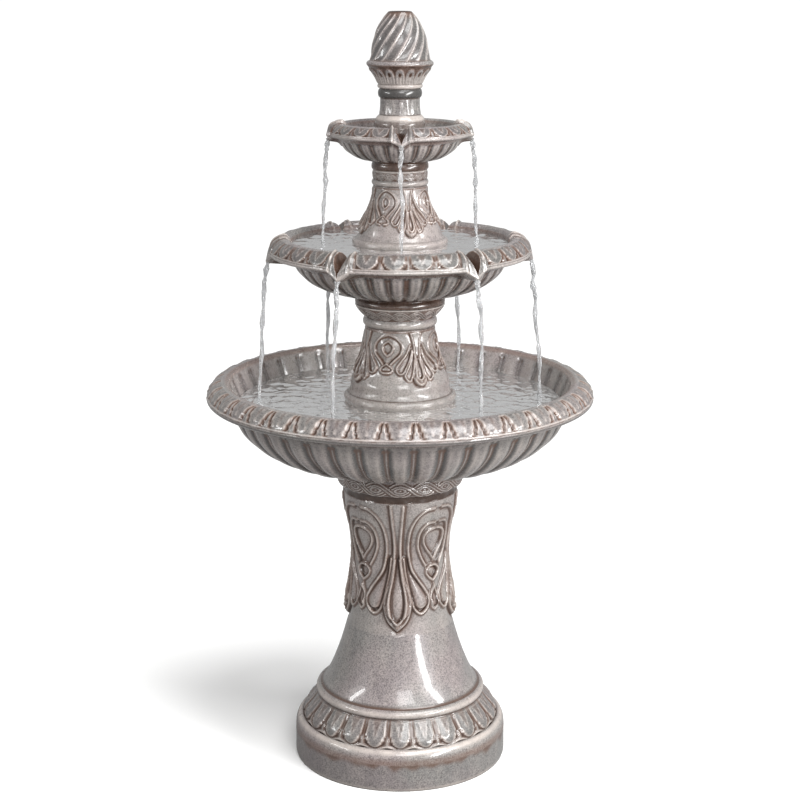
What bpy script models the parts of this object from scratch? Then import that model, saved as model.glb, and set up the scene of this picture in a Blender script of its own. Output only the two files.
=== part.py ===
"""A three-tier glazed garden fountain, standing on the ground with its axis on +Z.

A hollow pedestal carries a large basin. A column stands in the basin and hides the pump,
a middle bowl with six spouts sits on it, and a second column, a top bowl with four spouts,
a stem and an egg-shaped finial follow. A riser tube runs up the axis from the pump.
Outlines are (radius, height) pairs in millimetres, with heights above the ground.
"""

import math

import bmesh
import bpy
from mathutils import Matrix, Vector

MM = 0.001
GAP = 0.3  # clear space between pieces that touch

# Heights at which one piece stands on another
COLLAR_TOP = 457
BASIN_FLOOR = 482
LOWER_COLUMN_TOP = 703
MIDDLE_FLOOR = 735
UPPER_COLUMN_TOP = 898
TOP_FLOOR = 925
STEM_TOP = 1013
FINIAL_TOP = 1120
MIDDLE_RIM = 801
TOP_RIM = 964

# Widths and walls
FOOT_RADIUS = 161
BASIN_RADIUS = 286
MIDDLE_RADIUS = 190
TOP_RADIUS = 101
FLOOR_THICKNESS = 10
TOP_FLOOR_THICKNESS = 8
SPIGOT_DEPTH = 9  # how far a locating ring reaches into the piece below
TOP_SPIGOT_DEPTH = 8

# Spouts: first angle counter-clockwise from +X, and how many
MIDDLE_SPOUTS = 6
MIDDLE_SPOUT_START = math.radians(3.5)
TOP_SPOUTS = 4
TOP_SPOUT_START = math.radians(1)

# Water circuit
RISER_OUTER = 6.5
RISER_INNER = 5
STUB_OUTER = 4.6
STUB_INNER = 3
RISER_FOOT = 547
RISER_TOP = 1115
TUBE_CLEARANCE = 0.4
TUBE_PASSAGE = 11  # radius of the hole in each bowl's centre
SEAL_FLANGE = 4
CORD_HOLE_BACK = 60  # how far behind the axis the cord goes through the basin's floor
CORD_HOLE_RADIUS = 7
CORD_RADIUS = 2.5

# Pump. Depths count backwards from the fountain's axis, heights from the ground.
PUMP_HEIGHT = 516  # height of the impeller's axis
HOUSING_HALF_WIDTH = 26
HOUSING_LOW = 492
HOUSING_HIGH = 556
HOUSING_FRONT = 8.3  # where the motor housing meets the pump chamber
HOUSING_BACK = 50
HOUSING_WALL = 3
RESIN_FRONT = 46
CAN_RADIUS = 15
CAN_BORE = 12.5
CAN_BACK = 44
CAN_END_WALL = 3
CORE_HALF_WIDTH = 22.5
CORE_FRONT = 15
CORE_BACK = 33
CORE_FOOT = 500
CORE_CROWN = 546
YOKE_LOW = 538
COIL_HALF_WIDTH = 12
COIL_MARGIN = 3
COIL_LOW = 531.6
COIL_HIGH = 552.5
GLAND_HEIGHT = 503
SHAFT_RADIUS = 1.5
SHAFT_BACK = 40
SHAFT_FRONT = 6
SHAFT_CLEARANCE = 0.4
MAGNET_GAP = 0.9
MAGNET_BACK = 39
CHAMBER_RADIUS = 17
CHAMBER_RIM = 22
CHAMBER_EYE = 7
CHAMBER_FRONT = 11
CHAMBER_WALL = 4
STRAINER_RADIUS = 20
STRAINER_WALL = 2.5
STRAINER_DEPTH = 15
STRAINER_SLOTS = 8
STRAINER_SLOT_HALF = 1.6
VANES = 6
VANE_TIP = 13
VANE_HALF = 1.1
HUB_RADIUS = 4.5
IMPELLER_FRONT = 4.5
DIAL_RADIUS = 8
FOOT_PLACES = [(-18, 15), (18, 15), (-18, 43), (18, 43)]  # across and backwards
FACE_FRONT = (math.radians(90), 0, 0)  # turns a piece drawn along +Z to point to the front, -Y


def clear_scene():
    for obj in list(bpy.data.objects):
        bpy.data.objects.remove(obj, do_unlink=True)


def make_material(name, colour, roughness, metallic=0.0):
    material = bpy.data.materials.new(name)
    material.use_nodes = True
    shader = material.node_tree.nodes["Principled BSDF"]
    shader.inputs["Base Color"].default_value = (*colour, 1.0)
    shader.inputs["Roughness"].default_value = roughness
    shader.inputs["Metallic"].default_value = metallic
    return material


def add_object(name, bm, material, origin=(0, 0, 0), turn=None, parent=None):
    """Turns a bmesh in millimetres, drawn about its own origin, into a placed object."""
    bmesh.ops.remove_doubles(bm, verts=bm.verts, dist=0.0005)
    bmesh.ops.dissolve_degenerate(bm, edges=bm.edges, dist=0.0005)
    bmesh.ops.recalc_face_normals(bm, faces=bm.faces)
    bmesh.ops.scale(bm, vec=(MM, MM, MM), verts=bm.verts)
    mesh = bpy.data.meshes.new(name)
    bm.to_mesh(mesh)
    bm.free()
    mesh.shade_smooth()
    mesh.set_sharp_from_angle(angle=math.radians(35))
    if material:
        mesh.materials.append(material)
    obj = bpy.data.objects.new(name, mesh)
    bpy.context.scene.collection.objects.link(obj)
    obj.parent = parent
    obj.location = Vector(origin) * MM
    if turn:
        obj.rotation_euler = turn
    return obj


def add_pivot(name, height, parent=None):
    """An empty on a joint's axis, at a height above the ground."""
    pivot = bpy.data.objects.new(name, None)
    bpy.context.scene.collection.objects.link(pivot)
    pivot.parent = parent
    base = parent["height"] if parent else 0
    pivot["height"] = height
    pivot.location = (0, 0, (height - base) * MM)
    return pivot


def turned_mesh(outline, sides, base=0):
    """Spins a closed outline round the vertical. An outline that starts and ends on the axis is solid."""
    bm = bmesh.new()
    ring = [bm.verts.new((radius, 0, height - base)) for radius, height in outline]
    pairs = list(zip(ring, ring[1:] + ring[:1]))
    if outline[0][0] == 0 and outline[-1][0] == 0:
        pairs.pop()
    edges = [bm.edges.new(pair) for pair in pairs]
    bmesh.ops.spin(
        bm, geom=ring + edges, axis=(0, 0, 1), angle=2 * math.pi, steps=sides, use_merge=True
    )
    return bm


def extruded_mesh(outline, low, high):
    """A flat outline of (x, y) points raised along Z between two heights."""
    bm = bmesh.new()
    face = bm.faces.new([bm.verts.new((x, y, low)) for x, y in outline])
    grown = bmesh.ops.extrude_face_region(bm, geom=[face])
    raised = [item for item in grown["geom"] if isinstance(item, bmesh.types.BMVert)]
    bmesh.ops.translate(bm, vec=(0, 0, high - low), verts=raised)
    return bm


def block_mesh(low, high):
    corners = [(low[0], low[1]), (high[0], low[1]), (high[0], high[1]), (low[0], high[1])]
    return extruded_mesh(corners, low[2], high[2])


def lofted_mesh(sections):
    """Joins rings of points, one after another, and caps both ends."""
    bm = bmesh.new()
    rings = [[bm.verts.new(point) for point in section] for section in sections]
    for near, far in zip(rings, rings[1:]):
        for i in range(len(near)):
            j = (i + 1) % len(near)
            bm.faces.new((near[i], near[j], far[j], far[i]))
    bm.faces.new(rings[0])
    bm.faces.new(rings[-1])
    return bm


def repeat_round(bm, count, start):
    """Copies a mesh drawn towards +X to evenly spaced angles round Z."""
    drawn = list(bm.verts) + list(bm.edges) + list(bm.faces)
    for i in range(1, count):
        copy = bmesh.ops.duplicate(bm, geom=drawn)["geom"]
        verts = [item for item in copy if isinstance(item, bmesh.types.BMVert)]
        turn = Matrix.Rotation(2 * math.pi * i / count, 3, "Z")
        bmesh.ops.rotate(bm, matrix=turn, verts=verts)
    bmesh.ops.rotate(bm, matrix=Matrix.Rotation(start, 3, "Z"), verts=bm.verts)
    return bm


def combine(obj, operation, bm, origin=(0, 0, 0), turn=None):
    """Adds a Boolean with a hidden helper object, placed like the object it works on."""
    helper = add_object(f"{obj.name}_{operation.lower()}_{len(obj.modifiers)}", bm, None)
    helper.parent = obj.parent
    helper.location = Vector(origin) * MM
    if turn:
        helper.rotation_euler = turn
    helper.hide_render = True
    helper.display_type = "WIRE"
    modifier = obj.modifiers.new(helper.name, "BOOLEAN")
    modifier.operation = operation
    modifier.solver = "EXACT"
    modifier.object = helper


def rod_outline(radius, low, high):
    return [(0, low), (radius, low), (radius, high), (0, high)]


def tube_outline(inner, outer, low, high):
    return [(inner, low), (outer, low), (outer, high), (inner, high)]


def arch_mesh(half_width, spring, low, inner, outer):
    """A round-topped doorway shape that cuts through a wall, drawn towards +X."""
    steps = 6
    outline = [(-half_width, low), (half_width, low)]
    for i in range(steps + 1):
        angle = math.pi * i / steps
        outline.append((half_width * math.cos(angle), spring + half_width * math.sin(angle)))
    sections = [[(reach, across, height) for across, height in outline] for reach in (inner, outer)]
    return lofted_mesh(sections)


def make_pedestal(material, pivot):
    """A waisted, hollow casting with a round plinth and a collar that the basin stands on."""
    outside = [
        (FOOT_RADIUS, 0), (FOOT_RADIUS, 45), (158, 56), (151, 62), (147, 63), (143, 73),
        (131, 94), (125, 98), (127, 104), (121, 112), (116, 121), (104, 142), (89, 181),
        (80, 214), (76, 253), (72, 285), (71, 318), (74, 352), (81, 387), (84, 405),
        (85, 425), (92, 434), (94, 446), (91, COLLAR_TOP - GAP),
    ]
    inside = [
        (83, COLLAR_TOP - GAP), (83, 436), (74, 420), (70, 385), (61, 330), (64, 253),
        (79, 181), (113, 104), (140, 52), (148, 0),
    ]
    bm = turned_mesh(outside + inside, 32)
    pedestal = add_object("pedestal", bm, material, parent=pivot)
    cord_notch = arch_mesh(9, 12, -2, FOOT_RADIUS - 40, FOOT_RADIUS + 10)
    combine(pedestal, "DIFFERENCE", repeat_round(cord_notch, 1, math.radians(90)))


def make_basin(material, pivot):
    """The large bowl, with a rolled rim, a foot and a locating ring that drops into the collar."""
    seat = COLLAR_TOP
    outside = [
        (74, seat - SPIGOT_DEPTH), (82, seat - SPIGOT_DEPTH), (82, seat), (90, seat),
        (89, 467), (110, 468), (138, 470), (170, 477), (200, 490), (222, 506), (238, 524),
        (247, 542), (252, 553), (264, 559), (282, 561), (BASIN_RADIUS, 565), (283, 576),
        (274, 586), (264, 590), (255, 588),
    ]
    inside = [
        (249, 582), (244, 572), (238, 556), (229, 532), (211, 510), (185, 494), (155, 485),
        (130, BASIN_FLOOR), (0, BASIN_FLOOR),
    ]
    outline = [(0, BASIN_FLOOR - FLOOR_THICKNESS), (74, BASIN_FLOOR - FLOOR_THICKNESS)]
    outline += outside + inside
    bm = turned_mesh(outline, 40, seat)
    basin = add_object("basin", bm, material, parent=pivot)
    hole = turned_mesh(rod_outline(CORD_HOLE_RADIUS, BASIN_FLOOR - 30, BASIN_FLOOR + 20), 16, seat)
    combine(basin, "DIFFERENCE", hole, origin=(0, CORD_HOLE_BACK, 0))


def make_lower_column(material, pivot):
    """The column over the pump. Its skirt stands on the basin's floor and lets water in by arches."""
    floor = BASIN_FLOOR + GAP
    top = LOWER_COLUMN_TOP - GAP
    outside = [
        (80, floor), (80, 555), (83, 562), (82, 568), (75, 572), (72, 590), (64, 606),
        (59, 622), (54.5, 648), (51.5, 664), (54, 673), (53, 684), (59, 694), (65, 701), (64, top),
    ]
    inside = [
        (56, top), (55, 692), (46, 684), (43, 664), (46, 645), (51, 622), (63, 590),
        (68, 572), (71, 555), (71, floor),
    ]
    bm = turned_mesh(outside + inside, 24, BASIN_FLOOR)
    column = add_object("lower_column", bm, material, parent=pivot)
    arches = arch_mesh(10, 10, -5, 60, 90)
    combine(column, "DIFFERENCE", repeat_round(arches, 4, 0))


def spout_body(inner, outer, rim, half_width, drop):
    """A bracket under the rim that ends in a lip, drawn towards +X."""
    middle = (inner + outer) / 2
    stations = [
        (inner, half_width * 0.7, rim - drop * 1.25, rim - drop * 0.35),
        (middle, half_width, rim - drop * 1.1, rim - drop * 0.1),
        (outer - 4, half_width * 0.95, rim - drop * 0.9, rim - drop * 0.3),
        (outer, half_width * 0.7, rim - drop * 0.75, rim - drop * 0.5),
    ]
    sections = []
    for reach, half, low, high in stations:
        keel = low + (high - low) * 0.35
        sections.append(
            [
                (reach, -half, keel), (reach, -half * 0.5, low), (reach, half * 0.5, low),
                (reach, half, keel), (reach, half, high), (reach, -half, high),
            ]
        )
    return lofted_mesh(sections)


def spout_channel(inner, outer, rim, half_width, depth):
    """The V-shaped cut that lets water over the rim, sloping down to the lip."""
    sections = []
    for reach, low in ((inner, rim - depth * 0.9), (outer, rim - depth * 1.25)):
        top = rim + 8
        sections.append(
            [
                (reach, -half_width * 0.25, low), (reach, half_width * 0.25, low),
                (reach, half_width, top), (reach, -half_width, top),
            ]
        )
    return lofted_mesh(sections)


def make_middle_bowl(material, pivot):
    seat = LOWER_COLUMN_TOP
    under = MIDDLE_FLOOR - FLOOR_THICKNESS
    outside = [
        (46, seat - SPIGOT_DEPTH), (54, seat - SPIGOT_DEPTH), (54, seat), (65, seat),
        (63, 713), (70, 717), (97, 722), (120, 730), (138, 741), (150, 753), (158, 764),
        (180, 768), (MIDDLE_RADIUS, 774), (186, 788), (178, 797), (170, MIDDLE_RIM), (163, 799),
    ]
    inside = [
        (158, 793), (152, 777), (144, 762), (130, 748), (112, 739), (90, MIDDLE_FLOOR),
        (TUBE_PASSAGE, MIDDLE_FLOOR), (TUBE_PASSAGE, under), (46, under),
    ]
    bm = turned_mesh(outside + inside, 40, seat)
    bowl = add_object("middle_bowl", bm, material, parent=pivot)
    rim = MIDDLE_RIM - seat
    body = spout_body(150, MIDDLE_RADIUS + 3, rim, 11, 36)
    combine(bowl, "UNION", repeat_round(body, MIDDLE_SPOUTS, MIDDLE_SPOUT_START))
    channel = spout_channel(146, MIDDLE_RADIUS + 10, rim, 10, 20)
    combine(bowl, "DIFFERENCE", repeat_round(channel, MIDDLE_SPOUTS, MIDDLE_SPOUT_START))


def make_upper_column(material, pivot):
    """The slender column that stands in the middle bowl."""
    floor = MIDDLE_FLOOR + GAP
    top = UPPER_COLUMN_TOP - GAP
    outside = [
        (66, floor), (66, 786), (70, 791), (69, 798), (61, 803), (56, 817), (50, 832),
        (43.5, 848), (40, 866), (41, 878), (38, 886), (40, 893), (39, top),
    ]
    inside = [
        (31, top), (30, 888), (31, 864), (35, 846), (42, 830), (49, 812), (57, 795),
        (57, floor),
    ]
    bm = turned_mesh(outside + inside, 20, MIDDLE_FLOOR)
    add_object("upper_column", bm, material, parent=pivot)


def make_top_bowl(material, pivot):
    seat = UPPER_COLUMN_TOP
    under = TOP_FLOOR - TOP_FLOOR_THICKNESS
    outside = [
        (21, seat - TOP_SPIGOT_DEPTH), (28, seat - TOP_SPIGOT_DEPTH), (28, seat), (40, seat),
        (40, 908), (44, 911), (53, 911), (64, 916), (74, 923), (81, 931), (86, 940),
        (96, 943), (TOP_RADIUS, 948), (98, 956), (91, 962), (83, TOP_RIM), (78, 962),
    ]
    inside = [
        (75, 957), (71, 944), (65, 934), (55, 927), (45, TOP_FLOOR),
        (TUBE_PASSAGE, TOP_FLOOR), (TUBE_PASSAGE, under), (21, under),
    ]
    bm = turned_mesh(outside + inside, 28, seat)
    bowl = add_object("top_bowl", bm, material, parent=pivot)
    rim = TOP_RIM - seat
    body = spout_body(76, TOP_RADIUS + 2, rim, 8, 28)
    combine(bowl, "UNION", repeat_round(body, TOP_SPOUTS, TOP_SPOUT_START))
    channel = spout_channel(70, TOP_RADIUS + 8, rim, 8, 16)
    combine(bowl, "DIFFERENCE", repeat_round(channel, TOP_SPOUTS, TOP_SPOUT_START))


def make_stem(material, pivot):
    """The short neck between the top bowl and the finial."""
    floor = TOP_FLOOR + GAP
    top = STEM_TOP - GAP
    outline = [
        (33, floor), (33, 950), (36, 958), (36, 967), (34, 972), (29, 977), (28, 999),
        (31.5, 1004), (31.5, 1010), (29, top), (21, top), (20, 1000), (20, 974), (25, 960),
        (25, floor),
    ]
    add_object("finial_stem", turned_mesh(outline, 20, TOP_FLOOR), material, parent=pivot)


def make_finial(material, pivot):
    """A cup with an egg on it, hollow, with the water's outlet at its tip."""
    seat = STEM_TOP
    outline = [
        (14, seat - 6), (20, seat - 6), (20, seat), (30, seat), (32, 1017), (33, 1022), (40, 1035),
        (47, 1045), (47, 1050), (43, 1054), (41, 1062), (39.5, 1076), (36, 1092), (29, 1105),
        (21, 1116), (16, FINIAL_TOP), (12, FINIAL_TOP), (12, 1109), (20, 1102), (28, 1088),
        (32, 1070), (34, 1052), (32, 1040), (24, 1026), (14, 1019),
    ]
    add_object("finial", turned_mesh(outline, 20, seat), material, parent=pivot)


def make_tube_seal(name, floor, thickness, material, pivot):
    """A grooved rubber ring in a bowl's centre hole, through which the riser tube slides."""
    passage = RISER_OUTER + TUBE_CLEARANCE
    flange = TUBE_PASSAGE + SEAL_FLANGE
    throat = TUBE_PASSAGE - GAP
    under = floor - thickness
    outline = [
        (passage, under - 3), (flange, under - 3), (flange, under - GAP), (throat, under - GAP),
        (throat, floor + GAP), (flange, floor + GAP), (flange, floor + 3), (passage, floor + 3),
    ]
    add_object(name, turned_mesh(outline, 16, pivot["height"]), material, parent=pivot)


def make_outlet_bush(material, pivot):
    """The plastic ring in the finial's tip that steadies the end of the riser tube."""
    passage = RISER_OUTER + TUBE_CLEARANCE
    low = FINIAL_TOP - 10.5
    outline = [
        (passage, low), (11.5, low), (11.5, FINIAL_TOP - 1), (9.5, FINIAL_TOP),
        (passage, FINIAL_TOP - 2),
    ]
    add_object("outlet_bush", turned_mesh(outline, 16, pivot["height"]), material, parent=pivot)


def make_riser_tube(material, pivot):
    outline = tube_outline(RISER_INNER, RISER_OUTER, RISER_FOOT, RISER_TOP)
    bm = turned_mesh(outline, 16, pivot["height"])
    add_object("riser_tube", bm, material, parent=pivot)


def make_cord_bung(material, pivot):
    """The rubber stopper round the cord's way out through the basin's floor."""
    plug = CORD_HOLE_RADIUS - 0.4
    low = BASIN_FLOOR - 12
    seat = BASIN_FLOOR + GAP
    outline = [
        (CORD_RADIUS, low), (plug - 1, low), (plug, BASIN_FLOOR), (plug, seat),
        (plug + 3, seat), (plug + 3, seat + 3.7), (4, seat + 5.7), (CORD_RADIUS, seat + 5.7),
    ]
    bm = turned_mesh(outline, 16, BASIN_FLOOR)
    origin = (0, CORD_HOLE_BACK, BASIN_FLOOR - pivot["height"])
    add_object("cord_bung", bm, material, origin=origin, parent=pivot)


def make_motor(materials, pivot):
    """The motor half of the pump: a housing open at the back, its stator, and the resin over it."""
    base = pivot["height"]
    low = HOUSING_LOW - base
    high = HOUSING_HIGH - base
    box = block_mesh(
        (-HOUSING_HALF_WIDTH, HOUSING_FRONT, low), (HOUSING_HALF_WIDTH, HOUSING_BACK, high)
    )
    housing = add_object("pump_housing", box, materials["plastic"], parent=pivot)
    inside = HOUSING_HALF_WIDTH - HOUSING_WALL
    cavity = block_mesh(
        (-inside, HOUSING_FRONT + HOUSING_WALL, low + HOUSING_WALL),
        (inside, HOUSING_BACK + 5, high - HOUSING_WALL),
    )
    combine(housing, "DIFFERENCE", cavity)
    axis = (0, 0, PUMP_HEIGHT - base)
    can = turned_mesh(rod_outline(CAN_RADIUS, -CAN_BACK, -HOUSING_FRONT - 1), 24)
    combine(housing, "UNION", can, axis, FACE_FRONT)
    bore = turned_mesh(rod_outline(CAN_BORE, -CAN_BACK + CAN_END_WALL, 0), 24)
    combine(housing, "DIFFERENCE", bore, axis, FACE_FRONT)
    resin = block_mesh(
        (-inside + GAP, RESIN_FRONT, low + HOUSING_WALL + GAP),
        (inside - GAP, HOUSING_BACK - GAP, high - HOUSING_WALL - GAP),
    )
    add_object("resin_seal", resin, materials["resin"], parent=pivot)
    grip = -HOUSING_BACK - GAP
    outline = [(CORD_RADIUS, -60), (4, -60), (5.5, -52), (7, -52), (7, grip), (CORD_RADIUS, grip)]
    gland_place = (0, 0, GLAND_HEIGHT - base)
    bm = turned_mesh(outline, 16)
    add_object("cord_gland", bm, materials["rubber"], gland_place, FACE_FRONT, pivot)


def make_stator(materials, pivot):
    """The U-shaped iron core that straddles the rotor's can, and the coil wound on its yoke."""
    base = pivot["height"]
    pole = CAN_RADIUS + 0.6
    foot = CORE_FOOT - base
    yoke = YOKE_LOW - base
    crown = CORE_CROWN - base
    outline = [
        (-CORE_HALF_WIDTH, foot), (-pole, foot), (-pole, yoke), (pole, yoke), (pole, foot),
        (CORE_HALF_WIDTH, foot), (CORE_HALF_WIDTH, crown), (-CORE_HALF_WIDTH, crown),
    ]
    core = extruded_mesh(outline, -CORE_BACK, -CORE_FRONT)
    add_object("stator_core", core, materials["steel"], turn=FACE_FRONT, parent=pivot)
    wound = block_mesh(
        (-COIL_HALF_WIDTH, CORE_FRONT - COIL_MARGIN, COIL_LOW - base),
        (COIL_HALF_WIDTH, CORE_BACK + COIL_MARGIN, COIL_HIGH - base),
    )
    coil = add_object("stator_coil", wound, materials["copper"], parent=pivot)
    window = block_mesh(
        (-COIL_HALF_WIDTH - 1, CORE_FRONT - GAP, yoke - GAP),
        (COIL_HALF_WIDTH + 1, CORE_BACK + GAP, crown + GAP),
    )
    combine(coil, "DIFFERENCE", window)


def make_pump_chamber(materials, pivot):
    """The wet half of the pump: the chamber with its outlet stub, the strainer and the shaft."""
    base = pivot["height"]
    axis = (0, 0, PUMP_HEIGHT - base)
    plastic = materials["plastic"]
    back = -HOUSING_FRONT + GAP
    front = CHAMBER_FRONT - CHAMBER_WALL
    cup = [
        (CHAMBER_EYE, front), (CHAMBER_RADIUS, front), (CHAMBER_RADIUS, back),
        (CHAMBER_RIM, back), (CHAMBER_RIM, CHAMBER_FRONT), (CHAMBER_EYE, CHAMBER_FRONT),
    ]
    chamber = add_object("pump_chamber", turned_mesh(cup, 28), plastic, axis, FACE_FRONT, pivot)
    stub = turned_mesh(rod_outline(STUB_OUTER, PUMP_HEIGHT + 19, RISER_FOOT + 10), 16, base)
    combine(chamber, "UNION", stub)
    waterway = turned_mesh(rod_outline(STUB_INNER, PUMP_HEIGHT + 10, RISER_FOOT + 15), 16, base)
    combine(chamber, "DIFFERENCE", waterway)
    seat = CHAMBER_FRONT + GAP
    end = seat + STRAINER_DEPTH
    bore = STRAINER_RADIUS - STRAINER_WALL
    eye = 4
    cage = [
        (eye, end), (STRAINER_RADIUS, end), (STRAINER_RADIUS, seat), (bore, seat),
        (bore, end - STRAINER_WALL), (eye, end - STRAINER_WALL),
    ]
    strainer = add_object("intake_strainer", turned_mesh(cage, 28), plastic, axis, FACE_FRONT, pivot)
    half = STRAINER_SLOT_HALF
    near = seat + 2.7
    far = end - 4.3
    slot = lofted_mesh(
        [
            [(reach, -half, near), (reach, half, near), (reach, half, far), (reach, -half, far)]
            for reach in (bore - 2.5, STRAINER_RADIUS + 3)
        ]
    )
    slots = repeat_round(slot, STRAINER_SLOTS, math.pi / STRAINER_SLOTS)
    combine(strainer, "DIFFERENCE", slots, axis, FACE_FRONT)
    shaft = turned_mesh(rod_outline(SHAFT_RADIUS, -SHAFT_BACK, SHAFT_FRONT), 12)
    add_object("impeller_shaft", shaft, materials["shaft"], axis, FACE_FRONT, pivot)


def make_rotor(materials, pivot):
    """The vaned impeller and its ring magnet, which spin together on the shaft."""
    outline = []
    for i in range(VANES):
        angle = 2 * math.pi * i / VANES
        for radius, side in ((HUB_RADIUS, -1), (VANE_TIP, -1), (VANE_TIP, 1), (HUB_RADIUS, 1)):
            across = side * VANE_HALF
            x = radius * math.cos(angle) - across * math.sin(angle)
            y = radius * math.sin(angle) + across * math.cos(angle)
            outline.append((x, y))
    wheel = extruded_mesh(outline, -HOUSING_FRONT + 0.5, IMPELLER_FRONT)
    impeller = add_object("impeller", wheel, materials["plastic"], turn=FACE_FRONT, parent=pivot)
    bore_radius = SHAFT_RADIUS + SHAFT_CLEARANCE
    bore = turned_mesh(rod_outline(bore_radius, -20, 20), 12)
    combine(impeller, "DIFFERENCE", bore, turn=FACE_FRONT)
    outline = tube_outline(bore_radius, CAN_BORE - MAGNET_GAP, -MAGNET_BACK, -HOUSING_FRONT + 0.2)
    magnet = turned_mesh(outline, 24)
    add_object("rotor_magnet", magnet, materials["magnet"], turn=FACE_FRONT, parent=pivot)


def make_flow_dial(material, pivot):
    """The knob on the strainer that throttles the intake."""
    back = CHAMBER_FRONT + STRAINER_DEPTH + 2 * GAP
    hub = 3
    outline = [
        (0, back), (DIAL_RADIUS, back), (DIAL_RADIUS, back + 3), (hub, back + 3), (hub, back + 5),
        (0, back + 5),
    ]
    dial = add_object("flow_dial", turned_mesh(outline, 20), material, turn=FACE_FRONT, parent=pivot)
    pointer = block_mesh((-1.2, 0, back + 1), (1.2, DIAL_RADIUS + 3, back + 4))
    combine(dial, "UNION", pointer, turn=FACE_FRONT)


def make_suction_feet(material, pivot):
    low = BASIN_FLOOR + 0.4
    high = HOUSING_LOW - 0.4
    outline = [(0, low), (4, low), (7, low), (3.5, 487), (5, high), (0, high)]
    for i, (across, back) in enumerate(FOOT_PLACES, start=1):
        bm = turned_mesh(outline, 14, pivot["height"])
        add_object(f"suction_foot_{i}", bm, material, origin=(across, back, 0), parent=pivot)


def make_materials():
    return {
        "plinth_glaze": make_material("plinth_glaze", (0.30, 0.29, 0.28), 0.4),
        "glaze": make_material("glaze", (0.42, 0.38, 0.35), 0.2),
        "plastic": make_material("pump_plastic", (0.03, 0.03, 0.035), 0.5),
        "dial": make_material("dial_plastic", (0.05, 0.1, 0.2), 0.45),
        "rubber": make_material("rubber", (0.025, 0.025, 0.025), 0.8),
        "tube": make_material("tube_vinyl", (0.05, 0.055, 0.06), 0.35),
        "steel": make_material("stator_steel", (0.3, 0.3, 0.32), 0.45, 1.0),
        "copper": make_material("coil_copper", (0.72, 0.32, 0.16), 0.35, 1.0),
        "resin": make_material("resin", (0.02, 0.02, 0.02), 0.3),
        "shaft": make_material("shaft_ceramic", (0.8, 0.8, 0.76), 0.3),
        "magnet": make_material("magnet_ferrite", (0.06, 0.06, 0.065), 0.6),
    }


def main():
    clear_scene()
    materials = make_materials()
    ground = add_pivot("ground_frame", 0)
    basin_turn = add_pivot("basin_turn_axis", COLLAR_TOP, ground)
    lower_lift = add_pivot("lower_column_lift_axis", BASIN_FLOOR, basin_turn)
    middle_turn = add_pivot("middle_bowl_turn_axis", LOWER_COLUMN_TOP, lower_lift)
    upper_lift = add_pivot("upper_column_lift_axis", MIDDLE_FLOOR, middle_turn)
    top_turn = add_pivot("top_bowl_turn_axis", UPPER_COLUMN_TOP, upper_lift)
    stem_lift = add_pivot("stem_lift_axis", TOP_FLOOR, top_turn)
    finial_lift = add_pivot("finial_lift_axis", STEM_TOP, stem_lift)
    pump_axis = add_pivot("pump_spin_axis", PUMP_HEIGHT, basin_turn)

    make_pedestal(materials["plinth_glaze"], ground)
    make_basin(materials["glaze"], basin_turn)
    make_lower_column(materials["glaze"], lower_lift)
    make_middle_bowl(materials["glaze"], middle_turn)
    make_upper_column(materials["glaze"], upper_lift)
    make_top_bowl(materials["glaze"], top_turn)
    make_stem(materials["glaze"], stem_lift)
    make_finial(materials["glaze"], finial_lift)
    rubber = materials["rubber"]
    make_tube_seal("middle_bowl_seal", MIDDLE_FLOOR, FLOOR_THICKNESS, rubber, middle_turn)
    make_tube_seal("top_bowl_seal", TOP_FLOOR, TOP_FLOOR_THICKNESS, rubber, top_turn)
    make_outlet_bush(materials["plastic"], finial_lift)
    make_riser_tube(materials["tube"], basin_turn)
    make_cord_bung(rubber, basin_turn)
    make_motor(materials, basin_turn)
    make_stator(materials, basin_turn)
    make_pump_chamber(materials, basin_turn)
    make_suction_feet(rubber, basin_turn)
    make_rotor(materials, pump_axis)
    make_flow_dial(materials["dial"], pump_axis)


main()
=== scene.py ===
import math

import bmesh
import bpy
import numpy as np
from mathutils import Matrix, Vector


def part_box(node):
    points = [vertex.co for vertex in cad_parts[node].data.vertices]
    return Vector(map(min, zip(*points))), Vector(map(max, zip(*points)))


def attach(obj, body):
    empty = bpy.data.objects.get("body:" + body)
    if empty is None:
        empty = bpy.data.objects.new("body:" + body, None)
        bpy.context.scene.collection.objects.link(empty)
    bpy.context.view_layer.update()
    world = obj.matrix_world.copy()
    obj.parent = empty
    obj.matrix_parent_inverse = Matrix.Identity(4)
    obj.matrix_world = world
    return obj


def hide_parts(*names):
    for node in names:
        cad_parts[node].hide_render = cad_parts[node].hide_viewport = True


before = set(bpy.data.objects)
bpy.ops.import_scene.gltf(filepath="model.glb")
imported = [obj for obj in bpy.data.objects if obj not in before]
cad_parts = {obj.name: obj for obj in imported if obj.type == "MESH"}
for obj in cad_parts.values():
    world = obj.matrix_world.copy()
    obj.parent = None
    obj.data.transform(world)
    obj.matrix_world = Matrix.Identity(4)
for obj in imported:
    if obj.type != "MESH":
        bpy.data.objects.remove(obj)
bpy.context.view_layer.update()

MM = 0.001

# Angles are measured round the axis from the front (-Y), positive towards +X.
# Outlines are (radius, height) pairs in millimetres, with heights above the ground.

# Heights at which one piece stands on another, read from the frame
BASIN_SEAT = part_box("pedestal")[1][2] / MM
LOWER_COLUMN_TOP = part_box("lower_column")[1][2] / MM
BASIN_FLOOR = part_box("lower_column")[0][2] / MM
MIDDLE_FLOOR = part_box("upper_column")[0][2] / MM
UPPER_COLUMN_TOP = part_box("upper_column")[1][2] / MM
TOP_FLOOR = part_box("finial_stem")[0][2] / MM
STEM_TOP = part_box("finial_stem")[1][2] / MM
FINIAL_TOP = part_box("finial")[1][2] / MM
FOOT_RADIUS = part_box("pedestal")[1][0] / MM
BASIN_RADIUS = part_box("basin")[1][0] / MM

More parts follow.
